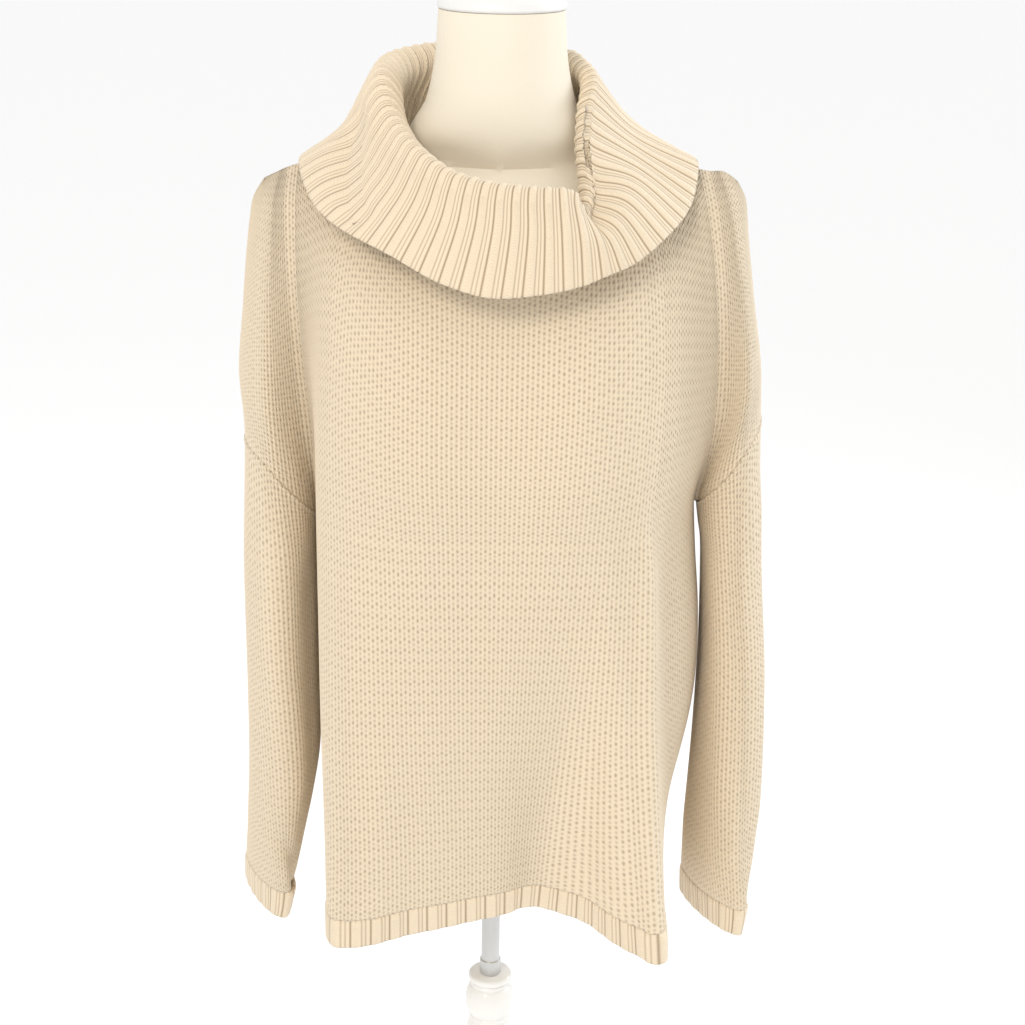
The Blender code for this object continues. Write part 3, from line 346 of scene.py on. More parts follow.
def grid_normals(points: Points, closed: bool) -> Points:
    """Outward directions of a grid of points, columns left to right and rows upwards seen from outside.

    Args:
        points: A grid of points, rows by columns.
        closed: True where the last column repeats the first.

    Returns:
        A unit direction for each point.
    """
    if closed:
        wide = np.concatenate([points[:, -2:-1], points, points[:, 1:2]], axis=1)
        across = wide[:, 2:] - wide[:, :-2]
    else:
        across = np.gradient(points, axis=1)
    up = np.gradient(points, axis=0)
    out = np.cross(across, up)
    return out / np.maximum(np.linalg.norm(out, axis=-1, keepdims=True), 1e-12)


def soft_edge(value: Points, low: float, high: float) -> Points:
    """A smooth step from 0 at low to 1 at high."""
    share = np.clip((value - low) / (high - low), 0.0, 1.0)
    return share * share * (3 - 2 * share)


def away_from_line(
    across: Points, along: Points, line: Sequence[tuple[float, float]], fade: float
) -> tuple[Points, Points]:
    """How far points lie beside a line that is given from the top down.

    Args:
        across: The points' coordinate across the line.
        along: The points' height.
        line: Points (across, height) of the line, from the top down.
        fade: The height over which the line dies away past each end.

    Returns:
        The distance across and the strength from 0 to 1 along the line.
    """
    heights = [p[1] for p in line][::-1]
    places = [p[0] for p in line][::-1]
    middle = np.interp(along, heights, places)
    strength = soft_edge(along, heights[0] - fade, heights[0])
    strength = strength * (1 - soft_edge(along, heights[-1] - fade, heights[-1]))
    return across - middle, strength


def creased_body(points: Points, face: Face) -> Points:
    """Points of one face of the body or its hem with the soft creases.

    Args:
        points: Rows by columns, from one side seam to the other.
        face: The face that they belong to.

    Returns:
        The moved points; the side seams stay where they are.
    """
    across = np.gradient(points, axis=1)
    out = np.stack([across[..., 1], -across[..., 0], np.zeros(points.shape[:2])], axis=-1)
    out /= np.linalg.norm(out, axis=-1, keepdims=True)
    moved = np.zeros(points.shape[:2])
    for crease in CREASES:
        if crease.face is face:
            beside, strength = away_from_line(points[..., 0], points[..., 2], crease.line, crease.fade)
            moved += crease.height * strength * np.exp(-((beside / crease.half_width) ** 2))
    steps = np.linalg.norm(np.diff(points, axis=1), axis=-1)
    run = np.concatenate([np.zeros((len(points), 1)), np.cumsum(steps, axis=1)], axis=1)
    edge = np.minimum(run, run[:, -1:] - run)
    return points + out * (moved * soft_edge(edge, 0.0, 0.018))[..., None]


@dataclass
class SweaterNet:
    """The plain outer surface of body, arms and sleeves as coarse grids of points.

    Attributes:
        body: Closed body sections from the hem's edge to the underarm level.
        upper: Closed sections from the underarm level to shoulders and neckline, arms included.
        sleeves: Closed sections of each sleeve from the cuff's edge to the armhole seam.
    """

    front_segments: tuple[int, ...] = (4, 4, 4, 4, 4, 4)
    back_segments: tuple[int, ...] = (4, 4, 3, 3, 4, 4)
    arm_segments: int = 4
    upper_segments: tuple[int, ...] = (3, 3, 2, 2, 1)
    underarm_gap: float = 0.0030
    underarm_share: float = 0.03
    hem_lift: float = 0.010
    shoulder_seam_y: float = 0.003
    body: Points = field(init=False)
    upper: Points = field(init=False)
    below_upper: Points = field(init=False)
    sleeves: dict[Side, Points] = field(init=False)
    above_sleeves: dict[Side, Points] = field(init=False)

    def __post_init__(self) -> None:
        """Works out every grid from the tables."""
        self.front_at = divided(self.front_segments)
        self.back_at = [6 + t for t in divided(self.back_segments)]
        self.n_front, self.n_back = len(self.front_at), len(self.back_at)
        self.arms = 2 * self.arm_segments
        lower = self._lower_rings()
        rings = self._sleeve_rings()
        upper = self._upper_rings()
        self._name_columns(upper.shape[1])
        self._join(lower, rings, upper)

    @staticmethod
    def _body_ring(row: int) -> Points:
        """Control points of one closed body section, from the left side round the front."""
        front, back = BODY_FRONT[row], BODY_BACK[row]
        flat = [
            (front[1], front[2]), (front[3], front[4]), (front[5], front[6]), (0.0, front[7]),
            (front[8], front[9]), (front[10], front[11]), (front[12], front[13]),
            (back[6], back[7]), (0.072, back[5]), (0.0, back[4]), (-0.075, back[3]), (back[1], back[2]),
        ]
        return np.array([(x, y, front[0]) for x, y in flat])

    @staticmethod
    def _upper_points(row: int) -> tuple[Points, Points]:
        """Control points of one section above the underarm: front left to right, back right to left."""
        share, *front = UPPER_FRONT[row]
        back = UPPER_BACK[row][1:]
        fronts = [
            (front[2 * i], front[2 * i + 1], low + (top - low) * share)
            for i, (low, top, _) in enumerate(UPPER_ENDS)
        ]
        backs = [
            (back[2 * i], back[2 * i + 1], low + (top - low) * share)
            for i, (low, _, top) in enumerate(UPPER_ENDS[1:-1])
        ]
        return np.array(fronts), np.array(backs[::-1])

    def _lower_rings(self) -> Points:
        """Closed sections from the hem to the underarm level."""
        at = self.front_at + self.back_at[1:-1]
        front, back = self._upper_points(0)
        level = np.concatenate([front[2:9], back[2:7]])
        level[0, 0] += self.underarm_gap / 2
        level[6, 0] -= self.underarm_gap / 2
        controls = [self._body_ring(row) for row in range(len(BODY_FRONT))] + [level]
        return np.array([smooth_line(ring, at, closed=True) for ring in controls])

    def _sleeve_rings(self) -> dict[Side, Points]:
        """Closed sections of both sleeves, the last one at the armhole seam."""
        made = {}
        front, back = self._upper_points(0)
        count = 4 * self.arm_segments
        turn = 2 * math.pi * np.arange(count) / count
        for side, table in ((Side.LEFT, SLEEVE_LEFT), (Side.RIGHT, SLEEVE_RIGHT)):
            rings = []
            for z, centre_x, centre_y, across, along, twist in table:
                c, s = math.cos(math.radians(twist)), math.sin(math.radians(twist))
                x, y = -side.value * across * np.cos(turn), -along * np.sin(turn)
                turned_x = centre_x + x * c - y * s
                turned_y = centre_y + x * s + y * c
                rings.append(np.stack([turned_x, turned_y, np.full(count, z)], axis=-1))
            left_ends = [front[2], front[1], front[0], back[8]]
            right_ends = [front[8], front[9], front[10], back[0]]
            quarter = left_ends if side is Side.LEFT else right_ends
            quarter = np.array(quarter)
            quarter[0, 0] += side.value * self.underarm_gap / 2
            share = np.arange(count) / self.arm_segments
            top = smooth_line(quarter, share, closed=True)
            centre = top.mean(axis=0)
            swell = 1 + 0.10 * np.sin(math.pi * share) ** 2
            top[:, :2] = centre[:2] + (top[:, :2] - centre[:2]) * swell[:, None]
            made[side] = np.array(rings + [top])
        return made

    def _upper_rings(self) -> Points:
        """Closed sections from the underarm level up, arms included."""
        half = [k / self.arm_segments for k in range(1, 2 * self.arm_segments)]
        gap = self.underarm_share
        at = [0.0] + half + [2 - gap, 2 + gap] + [2 + t for t in self.front_at[1:-1]]
        at += [8 - gap, 8 + gap] + [8 + t for t in half] + [10.0]
        at += [10 + t for t in half] + [12 - gap, 12 + gap] + [6 + t for t in self.back_at[1:-1]]
        at += [18 - gap, 18 + gap] + [18 + t for t in half]
        rings = [np.concatenate(self._upper_points(row)) for row in range(len(UPPER_FRONT))]
        return np.array([smooth_line(ring, at, closed=True) for ring in rings])

    def _name_columns(self, count: int) -> None:
        """Which columns of the upper sections belong to arms, front and back."""
        arms, n_front, n_back = self.arms, self.n_front, self.n_back
        last = 2 * arms + n_front + 1
        self.left_front = list(range(0, arms + 1))
        self.body_front = list(range(arms + 1, arms + 1 + n_front))
        self.right_front = list(range(arms + 1 + n_front, last + 1))
        self.right_back = list(range(last, last + arms + 1))
        self.body_back = list(range(last + arms + 1, last + arms + 1 + n_back))
        self.left_back = list(range(last + arms + 1 + n_back, count)) + [0]

    def _join(self, lower: Points, rings: dict[Side, Points], upper: Points) -> None:
        """Makes body, arms and sleeves share their points, and fills in the rows between the sections."""
        arms, n_front, n_back = self.arms, self.n_front, self.n_back
        left, right = rings[Side.LEFT], rings[Side.RIGHT]
        front_index = list(range(n_front))
        back_index = [k % lower.shape[1] for k in range(n_front - 1, n_front - 1 + n_back)]
        left_front = [arms - k for k in range(arms + 1)]
        left_back = [(2 * arms - k) % (2 * arms) for k in range(arms + 1)]
        right_front = list(range(arms + 1))
        right_back = [(arms + k) % (2 * arms) for k in range(arms + 1)]
        level, below = upper[0], np.empty_like(upper[0])
        for ring, row in ((level, -1), (below, -2)):
            ring[self.left_front] = left[row][left_front]
            ring[self.left_back] = left[row][left_back]
            ring[self.right_front] = right[row][right_front]
            ring[self.right_back] = right[row][right_back]
            ring[self.body_front] = lower[row][front_index]
            ring[self.body_back] = lower[row][back_index]
        for columns in (self.body_front, self.body_back):
            for end in (0, -1):
                below[columns[end]] = 2 * upper[0][columns[end]] - upper[1][columns[end]]
        for column in (self.left_front[-1], self.left_back[0], self.right_front[0], self.right_back[-1]):
            below[column] = 2 * upper[0][column] - upper[1][column]

        ends = self.front_segments, self.back_segments
        for fronts, backs in (
            (
                self.left_front + self.body_front[: ends[0][0] + 1],
                self.left_back[::-1] + self.body_back[::-1][: ends[1][-1] + 1],
            ),
            (
                self.right_front[::-1] + self.body_front[::-1][: ends[0][-1] + 1],
                self.right_back + self.body_back[: ends[1][0] + 1],
            ),
        ):
            seam = 0.5 * (upper[-1][fronts] + upper[-1][backs])
            seam[:, 1] = self.shoulder_seam_y
            upper[-1][fronts] = seam
            upper[-1][backs] = seam

        upper_rows = [1 + t for t in divided(self.upper_segments)]
        self.upper = smooth_line(np.concatenate([below[None], upper]), upper_rows)
        above = upper[1][self.body_front + self.body_back[1:-1]]
        rows = [0.0, 0.142, 0.284, 0.6, 1.0, 1.5, 2.0, 2.5, 3.0, 3.5, 4.0]
        body = smooth_line(np.concatenate([lower, above[None]]), rows)
        lift = self.hem_lift * np.exp(-(((body[..., 0] - 0.035) / 0.075) ** 2))
        body[..., 2] += lift * np.clip((0.80 - body[..., 2]) / 0.19, 0.0, 1.0) * (body[..., 1] < 0)
        self.body = body
        self.sleeves, self.above_sleeves = {}, {}
        for side, columns in (
            (Side.LEFT, self.left_front[::-1] + self.left_back[::-1][1:-1]),
            (Side.RIGHT, self.right_front + self.right_back[1:-1]),
        ):
            above = upper[1][columns]
            self.sleeves[side] = smooth_line(np.concatenate([rings[side], above[None]]), np.arange(13) / 2)
            self.sleeves[side][-1] = self.upper[0][columns]
            self.above_sleeves[side] = self.upper[1][columns]
        self.below_upper = self._row_below()

    def _row_below(self) -> Points:
        """The row that steers the upper sections' curves from below."""
        arms = self.arms
        left, right = self.sleeves[Side.LEFT][-2], self.sleeves[Side.RIGHT][-2]
        row = np.empty_like(self.upper[0])
        row[self.left_front] = left[[arms - k for k in range(arms + 1)]]
        row[self.left_back] = left[[(2 * arms - k) % (2 * arms) for k in range(arms + 1)]]
        row[self.right_front] = right[list(range(arms + 1))]
        row[self.right_back] = right[[(arms + k) % (2 * arms) for k in range(arms + 1)]]
        ring = self.body[-2]
        row[self.body_front] = ring[: self.n_front]
        start = self.n_front - 1
        row[self.body_back] = ring[[k % len(ring) for k in range(start, start + self.n_back)]]
        return row

    def neckline(self) -> list[Vector]:
        """The closed neckline, from the left shoulder round the front."""
        first = self.front_segments[0]
        front = self.upper[-1][self.body_front][first : first + sum(self.front_segments[1:-1]) + 1]
        start = self.back_segments[0]
        back = self.upper[-1][self.body_back][start + 1 : start + sum(self.back_segments[1:-1])]
        return [Vector(p) for p in np.concatenate([front, back])]


@dataclass
class Patch:
    """A fine grid of outer points with its stitch coordinates and relief.

    Attributes:
        points: Outer points, rows by columns.
        stitches: Stitch coordinates (wale, course) of each point.
        relief: How far each point stands out of the plain surface.
        closed: True where the last column repeats the first.
        normals: Outward directions.
    """

    points: Points
    stitches: Points
    relief: Points
    closed: bool = False
    normals: Points = field(init=False)

    def __post_init__(self) -> None:
        """Works out the outward directions."""
        self.normals = grid_normals(self.points, self.closed)

    def outer(self) -> Points:
        """The points with their relief."""
        return self.points + self.normals * self.relief[..., None]

    def inner(self, wall: float, step: int) -> Points:
        """Points one wall further in, on every so many rows and columns, ends included."""
        plain = self.points - self.normals * wall
        rows = self.thinned(plain.shape[0], step)
        columns = self.thinned(plain.shape[1], step)
        return plain[rows][:, columns]

    @staticmethod
    def thinned(count: int, step: int) -> list[int]:
        """Indices at about every so many, both ends included."""
        return [round(k) for k in np.linspace(0, count - 1, max(2, round((count - 1) / step) + 1))]


class ClothShell:
    """A closed shell of cloth in the making: fine outside, plainer inside, joined at its rims."""

    def __init__(self, name: str) -> None:
        """Starts an empty shell.

        Args:
            name: The piece's name.
        """
        self.name = name
        self.bm = bmesh.new()
        self.layer = self.bm.loops.layers.uv.new("stitches")
        self.rim = self.bm.verts.layers.int.new("rim")

    def add(self, points: Points, stitches: Points, turned_in: bool) -> None:
        """Adds one grid of points.

        Args:
            points: Rows by columns, seen from outside.
            stitches: Stitch coordinates of each point.
            turned_in: True for the shell's inner face.
        """
        rows, columns = points.shape[:2]
        made = bmesh.ops.create_grid(self.bm, x_segments=columns - 1, y_segments=rows - 1, size=1.0)["verts"]
        places = points.reshape(-1, 3).tolist()
        coordinates = stitches.reshape(-1, 2).tolist()
        number = {}
        for k, (vert, place) in enumerate(zip(made, places)):
            vert.co = place
            number[vert] = k
            row = k // columns
            vert[self.rim] = 1 if row == 0 else 2 if row == rows - 1 else 0
        faces = {face for vert in made for face in vert.link_faces}
        for face in faces:
            for loop in face.loops:
                loop[self.layer].uv = coordinates[number[loop.vert]]
        if turned_in:
            bmesh.ops.reverse_faces(self.bm, faces=list(faces))

    def close(self, tube: bool) -> None:
        """Merges the grids where they meet and joins the outer to the inner face.

        Args:
            tube: True where the shell has an upper and a lower rim.
        """
        bmesh.ops.remove_doubles(self.bm, verts=self.bm.verts[:], dist=2e-5)
        open_edges = [edge for edge in self.bm.edges if edge.is_boundary]
        if not tube:
            bmesh.ops.bridge_loops(self.bm, edges=open_edges)
            return
        for mark in (1, 2):
            chosen = [edge for edge in open_edges if all(vert[self.rim] == mark for vert in edge.verts)]
            bmesh.ops.bridge_loops(self.bm, edges=chosen)

    def finish(self, material: bpy.types.Material) -> bpy.types.Object:
        """Turns the shell into a piece.

        Args:
            material: Its finish.

        Returns:
            The new object.
        """
        self.bm.normal_update()
        mesh = bpy.data.meshes.new(self.name)
        self.bm.to_mesh(mesh)
        self.bm.free()
        mesh.attributes.remove(mesh.attributes["rim"])
        mesh.shade_smooth()
        mesh.materials.append(material)
        piece = bpy.data.objects.new(self.name, mesh)
        bpy.context.scene.collection.objects.link(piece)
        return piece


def shell_of(
    name: str, patches: Sequence[Patch], wall: float, step: int, material: bpy.types.Material
) -> bpy.types.Object:
    """A closed shell of one or more patches.

    Args:
        name: The piece's name.
        patches: Fine outer grids that share their edges.
        wall: The cloth's thickness.
        step: How many times coarser the inner face is.
        material: The finish.

    Returns:
        The new piece.
    """
    shell = ClothShell(name)
    for patch in patches:
        shell.add(patch.outer(), patch.stitches, False)
    for patch in patches:
        inner = patch.inner(wall, step)
        plain = Patch.thinned
        rows = plain(patch.points.shape[0], step)
        columns = plain(patch.points.shape[1], step)
        shell.add(inner, patch.stitches[rows][:, columns], True)
    shell.close(patches[0].closed)
    return shell.finish(material)


@dataclass(frozen=True)
class KnitStitch:
    """The half-cardigan stitch: wales of small holes, every second wale set lower."""

    wale: float = 0.0039
    repeat: float = 0.0100
    ridge: float = 0.00030
    deep_hole: float = -0.00060
    small_hole: float = -0.00028
    between: float = -0.00005

    def relief(self, rows: int, columns: int) -> Points:
        """Height of each point of a grid with two columns a wale and four rows a repeat.

        Args:
            rows: Rows of points.
            columns: Columns of points.

        Returns:
            Heights, plain along the first and the last row.
        """
        i, j = np.meshgrid(np.arange(columns), np.arange(rows))
        phase = (j + (i // 2) % 2) % 4
        hole = np.choose(phase, [self.deep_hole, self.between, self.small_hole, self.between])
        height = np.where(i % 2 == 1, hole, self.ridge)
        edge = np.minimum(j, rows - 1 - j)
        return height * np.clip(edge / 1.0, 0.0, 1.0)

    @staticmethod
    def coordinates(rows: int, columns: int, first_wale: float, first_course: float) -> Points:
        """Stitch coordinates of such a grid, in wales and repeats."""
        i, j = np.meshgrid(np.arange(columns), np.arange(rows))
        return np.stack([first_wale + i / 2, first_course + j / 4], axis=-1)


@dataclass
class BodyPanel:
    """The front or the back: the body's cloth and the upper arms of that face."""

    face: Face
    net: SweaterNet
    stitch: KnitStitch
    wall: float = 0.0026
    inner_step: int = 4

    def patches(self) -> list[Patch]:
        """Fine grids of the body and both upper arms."""
        net = self.net
        front = self.face is Face.FRONT
        first = 0 if front else net.n_front - 1
        columns = net.body_front if front else net.body_back
        level = net.upper[0][columns]
        width = np.linalg.norm(np.diff(level, axis=0), axis=-1)
        wales = 2 * round(width.sum() / self.stitch.wale / 2)
        at = even_steps(width, 2 * wales)
        low = smooth_line(net.body, first + at, axis=1, closed=True)
        high = smooth_line(net.upper, columns[0] + at, axis=1, closed=True)
        stack = np.concatenate([low[1:], high[1:]])
        heights = np.linalg.norm(np.diff(stack, axis=0), axis=-1).mean(axis=1)
        repeats_low = round(heights[1:9].sum() / self.stitch.repeat)
        repeats_high = round(heights[9:].sum() / self.stitch.repeat)
        up_low = 1 + even_steps(heights[1:9], 4 * repeats_low)
        up_high = even_steps(heights[9:], 4 * repeats_high)
        rows = np.concatenate([up_low, 9 + up_high[1:]])
        body = creased_body(smooth_line(stack, rows), self.face)
        size = body.shape[:2]
        made = [Patch(body, self.stitch.coordinates(*size, 0, 0), self.stitch.relief(*size))]
        whole = np.concatenate([net.below_upper[None], net.upper])
        arms = (
            (net.left_front if front else net.right_back, columns[0], True),
            (net.right_front if front else net.left_back, columns[-1], False),
        )
        for arm, border, before in arms:
            start = arm[0] if before else border
            count = len(arm)
            line = whole[6][[(start + k) % whole.shape[1] for k in range(count + 1)]]
            length = np.linalg.norm(np.diff(line, axis=0), axis=-1)
            arm_wales = 2 * round(length.sum() / self.stitch.wale / 2)
            across = even_steps(length, 2 * arm_wales)
            grid = smooth_line(smooth_line(whole, start + across, axis=1, closed=True), 1 + up_high)
            if before:
                grid[:, -1] = body[-len(grid):, 0]
            else:
                grid[:, 0] = body[-len(grid):, -1]
            first_wale = -arm_wales if before else wales
            stitches = self.stitch.coordinates(*grid.shape[:2], first_wale, repeats_low)
            patch = Patch(grid, stitches, self.stitch.relief(*grid.shape[:2]))
            shared = made[0].normals[-len(grid):, 0 if before else -1]
            patch.normals[:, -1 if before else 0] = shared
            patch.relief[:, -1 if before else 0] = made[0].relief[-len(grid):, 0 if before else -1]
            made.append(patch)
        return made

    def build(self, material: bpy.types.Material) -> bpy.types.Object:
        """Makes the piece.

        Args:
            material: The knit's finish.

        Returns:
            The panel.
        """
        name = f"{self.face.value}_panel_knit"
        piece = shell_of(name, self.patches(), self.wall, self.inner_step, material)
        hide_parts(f"{self.face.value}_panel")
        return piece


@dataclass
class Sleeve:
    """One sleeve tube from the armhole seam to the cuff."""

    side: Side
    net: SweaterNet
    stitch: KnitStitch
    wall: float = 0.0026
    inner_step: int = 3

    def _grid(self) -> Points:
        """The sleeve's coarse sections, rows upwards and columns left to right seen from outside."""
        rows = np.concatenate([self.net.sleeves[self.side], self.net.above_sleeves[self.side][None]])
        return rows[:, ::-1] if self.side is Side.LEFT else rows

    def patch(self) -> Patch:
        """The fine grid of the whole tube."""
        net = self._grid()
        around = np.linalg.norm(np.roll(net[7], -1, axis=0) - net[7], axis=-1)
        wales = 2 * round(around.sum() / self.stitch.wale / 2)
        fine = smooth_line(net, even_steps(around, 2 * wales), axis=1, closed=True)
        heights = np.linalg.norm(np.diff(fine, axis=0), axis=-1).mean(axis=1)
        repeats = round(heights[2:12].sum() / self.stitch.repeat)
        grid = smooth_line(fine, 2 + even_steps(heights[2:12], 4 * repeats))
        grid = self.creased(grid)
        rows, columns = grid.shape[:2]
        relief = self.stitch.relief(rows, columns)
        relief[:, 0] = relief[:, -1] = self.stitch.ridge
        relief[0] = relief[-1] = 0.0
        top = np.arange(rows)[::-1, None] * self.stitch.repeat / 4
        relief = relief * soft_edge(top, 0.002, 0.006) + 0.0012 * np.exp(-(((top - 0.003) / 0.0022) ** 2))
        return Patch(grid, self.stitch.coordinates(rows, columns, 0, 0), relief, True)

    def creased(self, points: Points) -> Points:
        """The tube's points with its soft creases."""
        columns = points.shape[1]
        turn = np.linspace(0.0, 1.0, columns)
        if self.side is Side.LEFT:
            turn = 1.0 - turn
        turns = np.broadcast_to(turn, points.shape[:2])
        moved = np.zeros(points.shape[:2])
        for crease in SLEEVE_CREASES:
            if crease.side is not self.side:
                continue
            beside, strength = away_from_line(turns, points[..., 2], crease.line, 0.06)
            beside = (beside + 0.5) % 1.0 - 0.5
            moved += crease.height * strength * np.exp(-((beside / crease.half_width) ** 2))
        return points + grid_normals(points, True) * moved[..., None]

    def build(self, material: bpy.types.Material) -> bpy.types.Object:
        name = f"sleeve_{self.side.name.lower()}"
        piece = shell_of(name + "_knit", [self.patch()], self.wall, self.inner_step, material)
        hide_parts(name)
        return piece


@dataclass
class RibBand:
    """A ribbed band at the hem or a cuff: ribs raised outside, plain inside."""

    name: str
    node: str
    rows: Points
    ribs: int
    closed: bool
    flat: tuple[float, float]
    rests_on: str
    face: Face | None = None
    wall: float = 0.0028
    rib_height: float = 0.0015
    per_rib: int = 8
    row_step: float = 0.0022

    def profile(self, share: Points) -> Points:
        """Height across a rib: a broad smooth rib, then a narrow band with a thin cord in its middle."""
        share = share % 1.0
        broad = soft_edge(share, 0.02, 0.16) * (1 - soft_edge(share, 0.60, 0.72))
        cord = np.exp(-(((share - 0.86) / 0.05) ** 2))
        return self.rib_height * (broad + 0.45 * cord)

    def patch(self) -> Patch:
        """The fine grid of the band."""
        net = self.rows
        ring = np.concatenate([net, net[:, :1]], axis=1) if self.closed else net
        length = np.linalg.norm(np.diff(ring[0], axis=0), axis=-1)
        fine = smooth_line(net, even_steps(length, self.ribs * self.per_rib), axis=1, closed=self.closed)
        heights = np.linalg.norm(np.diff(fine, axis=0), axis=-1).mean(axis=1)
        count = max(4, round(heights[:2].sum() / self.row_step))
        grid = smooth_line(fine, even_steps(heights[:2], count))
        if self.face is not None:
            grid = creased_body(grid, self.face)
        rows, columns = grid.shape[:2]
        i, j = np.meshgrid(np.arange(columns), np.arange(rows))
        share = i / self.per_rib
        relief = self.profile(share)
        end = j * heights[:2].sum() / count
        relief = relief * soft_edge(end, -0.002, 0.002) * soft_edge(heights[:2].sum() - end, -0.001, 0.004)
        stitches = np.stack([share, end / COURSE], axis=-1)
        return Patch(grid, stitches, relief, self.closed)

    def build(self, material: bpy.types.Material) -> bpy.types.Object:
        piece = shell_of(self.name, [self.patch()], self.wall, 2, material)
        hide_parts(self.node)
        return piece


@dataclass
class CowlCollar:
    """The wide ribbed tube: up from the neckline, over the ridge and down to its free edge."""

    net: SweaterNet
    ribs: int = 60
    per_rib: int = 8
    row_count: int = 66
    wall: float = 0.0030
    rib_height: float = 0.0017
    twist: float = -0.10
    seam_gap: float = 0.0003

    @staticmethod
    def _table(column: int) -> Callable[[float], float]:
        """One column of the collar's table as a function of the angle, without overshoot."""
        xs = [row[0] for row in COLLAR]
        ys = [row[column] for row in COLLAR]
        count = len(xs)
        steps = [
            (ys[(i + 1) % count] - ys[i]) / ((xs[(i + 1) % count] - xs[i]) % 360.0)
            for i in range(count)
        ]
        slopes = []
        for i in range(count):
            before, after = steps[i - 1], steps[i]
            slopes.append(0.0 if before * after <= 0 else 2 * before * after / (before + after))

        def value(angle: float) -> float:
            """The column's value at an angle."""
            angle = (angle + 180.0) % 360.0 - 180.0
            i = max(k for k in range(count) if xs[k] <= angle + 1e-9)
            n = (i + 1) % count
            span = (xs[n] - xs[i]) % 360.0
            f = (angle - xs[i]) / span
            return (
                (1 + 2 * f) * (1 - f) ** 2 * ys[i] + f * (1 - f) ** 2 * span * slopes[i]
                + f * f * (3 - 2 * f) * ys[n] + f * f * (f - 1) * span * slopes[n]
            )

        return value

    def _curves(self) -> list[Callable[[float], Points]]:
        """Closed lines round the collar: inside of the roll, ridge, outside of the roll, middle and edge."""
        ridge_r, ridge_z, roll, mid_r, mid_z, edge_r, edge_z = (self._table(k) for k in range(1, 8))

        def place(angle: float, radius: float, z: float) -> Points:
            """A point at an angle round the neck."""
            turn = math.radians(angle)
            return np.array([radius * math.sin(turn), -radius * math.cos(turn), z])

        return [
            lambda a: place(a, ridge_r(a) - roll(a), ridge_z(a) - 1.3 * roll(a)),
            lambda a: place(a, ridge_r(a), ridge_z(a)),
            lambda a: place(a, ridge_r(a) + roll(a), ridge_z(a) - 1.3 * roll(a)),
            lambda a: place(a, mid_r(a), mid_z(a)),
            lambda a: place(a, edge_r(a), edge_z(a)),
        ]

    def _controls(self) -> Points:
        """Control rows from the neckline seam to the free edge, one column for each fine column."""
        neckline = self.net.neckline()
        start = math.degrees(math.atan2(neckline[0].x, -neckline[0].y))
        count = self.ribs * self.per_rib
        shares = np.arange(count + 1) / count
        rows = []
        for k, curve in enumerate(self._curves()):
            angles = start + np.arange(721) / 2.0
            points = np.array([curve(a) for a in angles])
            total = np.concatenate([[0.0], np.cumsum(np.linalg.norm(np.diff(points, axis=0), axis=-1))])
            chosen = np.interp(shares * total[-1], total, angles)
            lean = math.degrees(self.twist) * (k - 1) / 3
            rows.append(np.array([curve(a + lean) for a in chosen]))
        ring = np.array([tuple(p) for p in neckline + neckline[:1]])
        at_seam = shares * len(neckline)
        seam = np.stack([np.interp(at_seam, np.arange(len(ring)), ring[:, c]) for c in range(3)], axis=-1)
        seam[:, 2] += self.seam_gap
        low = 0.5 * (seam + rows[0])
        outward = seam * (1.0, 1.0, 0.0)
        low += 0.003 * outward / np.linalg.norm(outward, axis=-1, keepdims=True)
        return np.array([seam, low] + rows)

    def patch(self) -> Patch:
        """The fine grid of the collar's visible side."""
        controls = self._controls()
        heights = np.linalg.norm(np.diff(controls, axis=0), axis=-1).mean(axis=1)
        at = even_steps(heights, self.row_count)
        grid = smooth_line(controls, at)
        rows, columns = grid.shape[:2]
        out = -grid_normals(grid, True)
        share = np.broadcast_to(np.arange(columns) / self.per_rib, (rows, columns))
        down = np.arange(rows)[:, None] * heights.sum() / self.row_count
        low_edge = heights.sum() - down
        rib = self.profile(share) * soft_edge(low_edge, -0.001, 0.004) * soft_edge(down, -0.001, 0.006)
        visible = grid + out * (self.wall + rib + self._bend(grid))[..., None]
        visible = visible[:, ::-1]
        stitches = np.stack([share[:, ::-1], np.broadcast_to(down / COURSE, (rows, columns))], axis=-1)
        self._hidden = grid[:, ::-1]
        return Patch(visible, stitches, np.zeros((rows, columns)), True)

    @staticmethod
    def _bend(grid: Points) -> Points:
        """The soft bend at the left, where the ribs run down aslant."""
        angle = np.degrees(np.arctan2(grid[..., 0], -grid[..., 1]))
        bend_line = ((-86, 1.345), (-74, 1.305), (-50, 1.262))
        beside, strength = away_from_line(angle, grid[..., 2], bend_line, 0.02)
        outside = soft_edge(np.arange(len(grid)), 0.40 * len(grid), 0.50 * len(grid))[:, None]
        ridge = 0.0028 * np.exp(-(((beside + 13) / 7.0) ** 2)) - 0.0052 * np.exp(-((beside / 6.5) ** 2))
        return ridge * strength * outside

    def profile(self, share: Points) -> Points:
        """Height across a rib: a rounded stitch column, then a lower band with two thin cords."""
        share = share % 1.0
        broad = np.sin(math.pi * np.clip(share / 0.52, 0.0, 1.0)) ** 0.7
        cords = np.exp(-(((share - 0.66) / 0.055) ** 2)) + np.exp(-(((share - 0.84) / 0.055) ** 2))
        return self.rib_height * (broad + 0.62 * cords)

    def build(self, material: bpy.types.Material) -> bpy.types.Object:
        patch = self.patch()
        shell = ClothShell("cowl_collar_rib")
        shell.add(patch.points, patch.stitches, False)
        rows = Patch.thinned(patch.points.shape[0], 2)
        columns = Patch.thinned(patch.points.shape[1], 4)
        shell.add(self._hidden[rows][:, columns], patch.stitches[rows][:, columns], True)
        shell.close(True)
        piece = shell.finish(material)
        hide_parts("cowl_collar")
        return piece


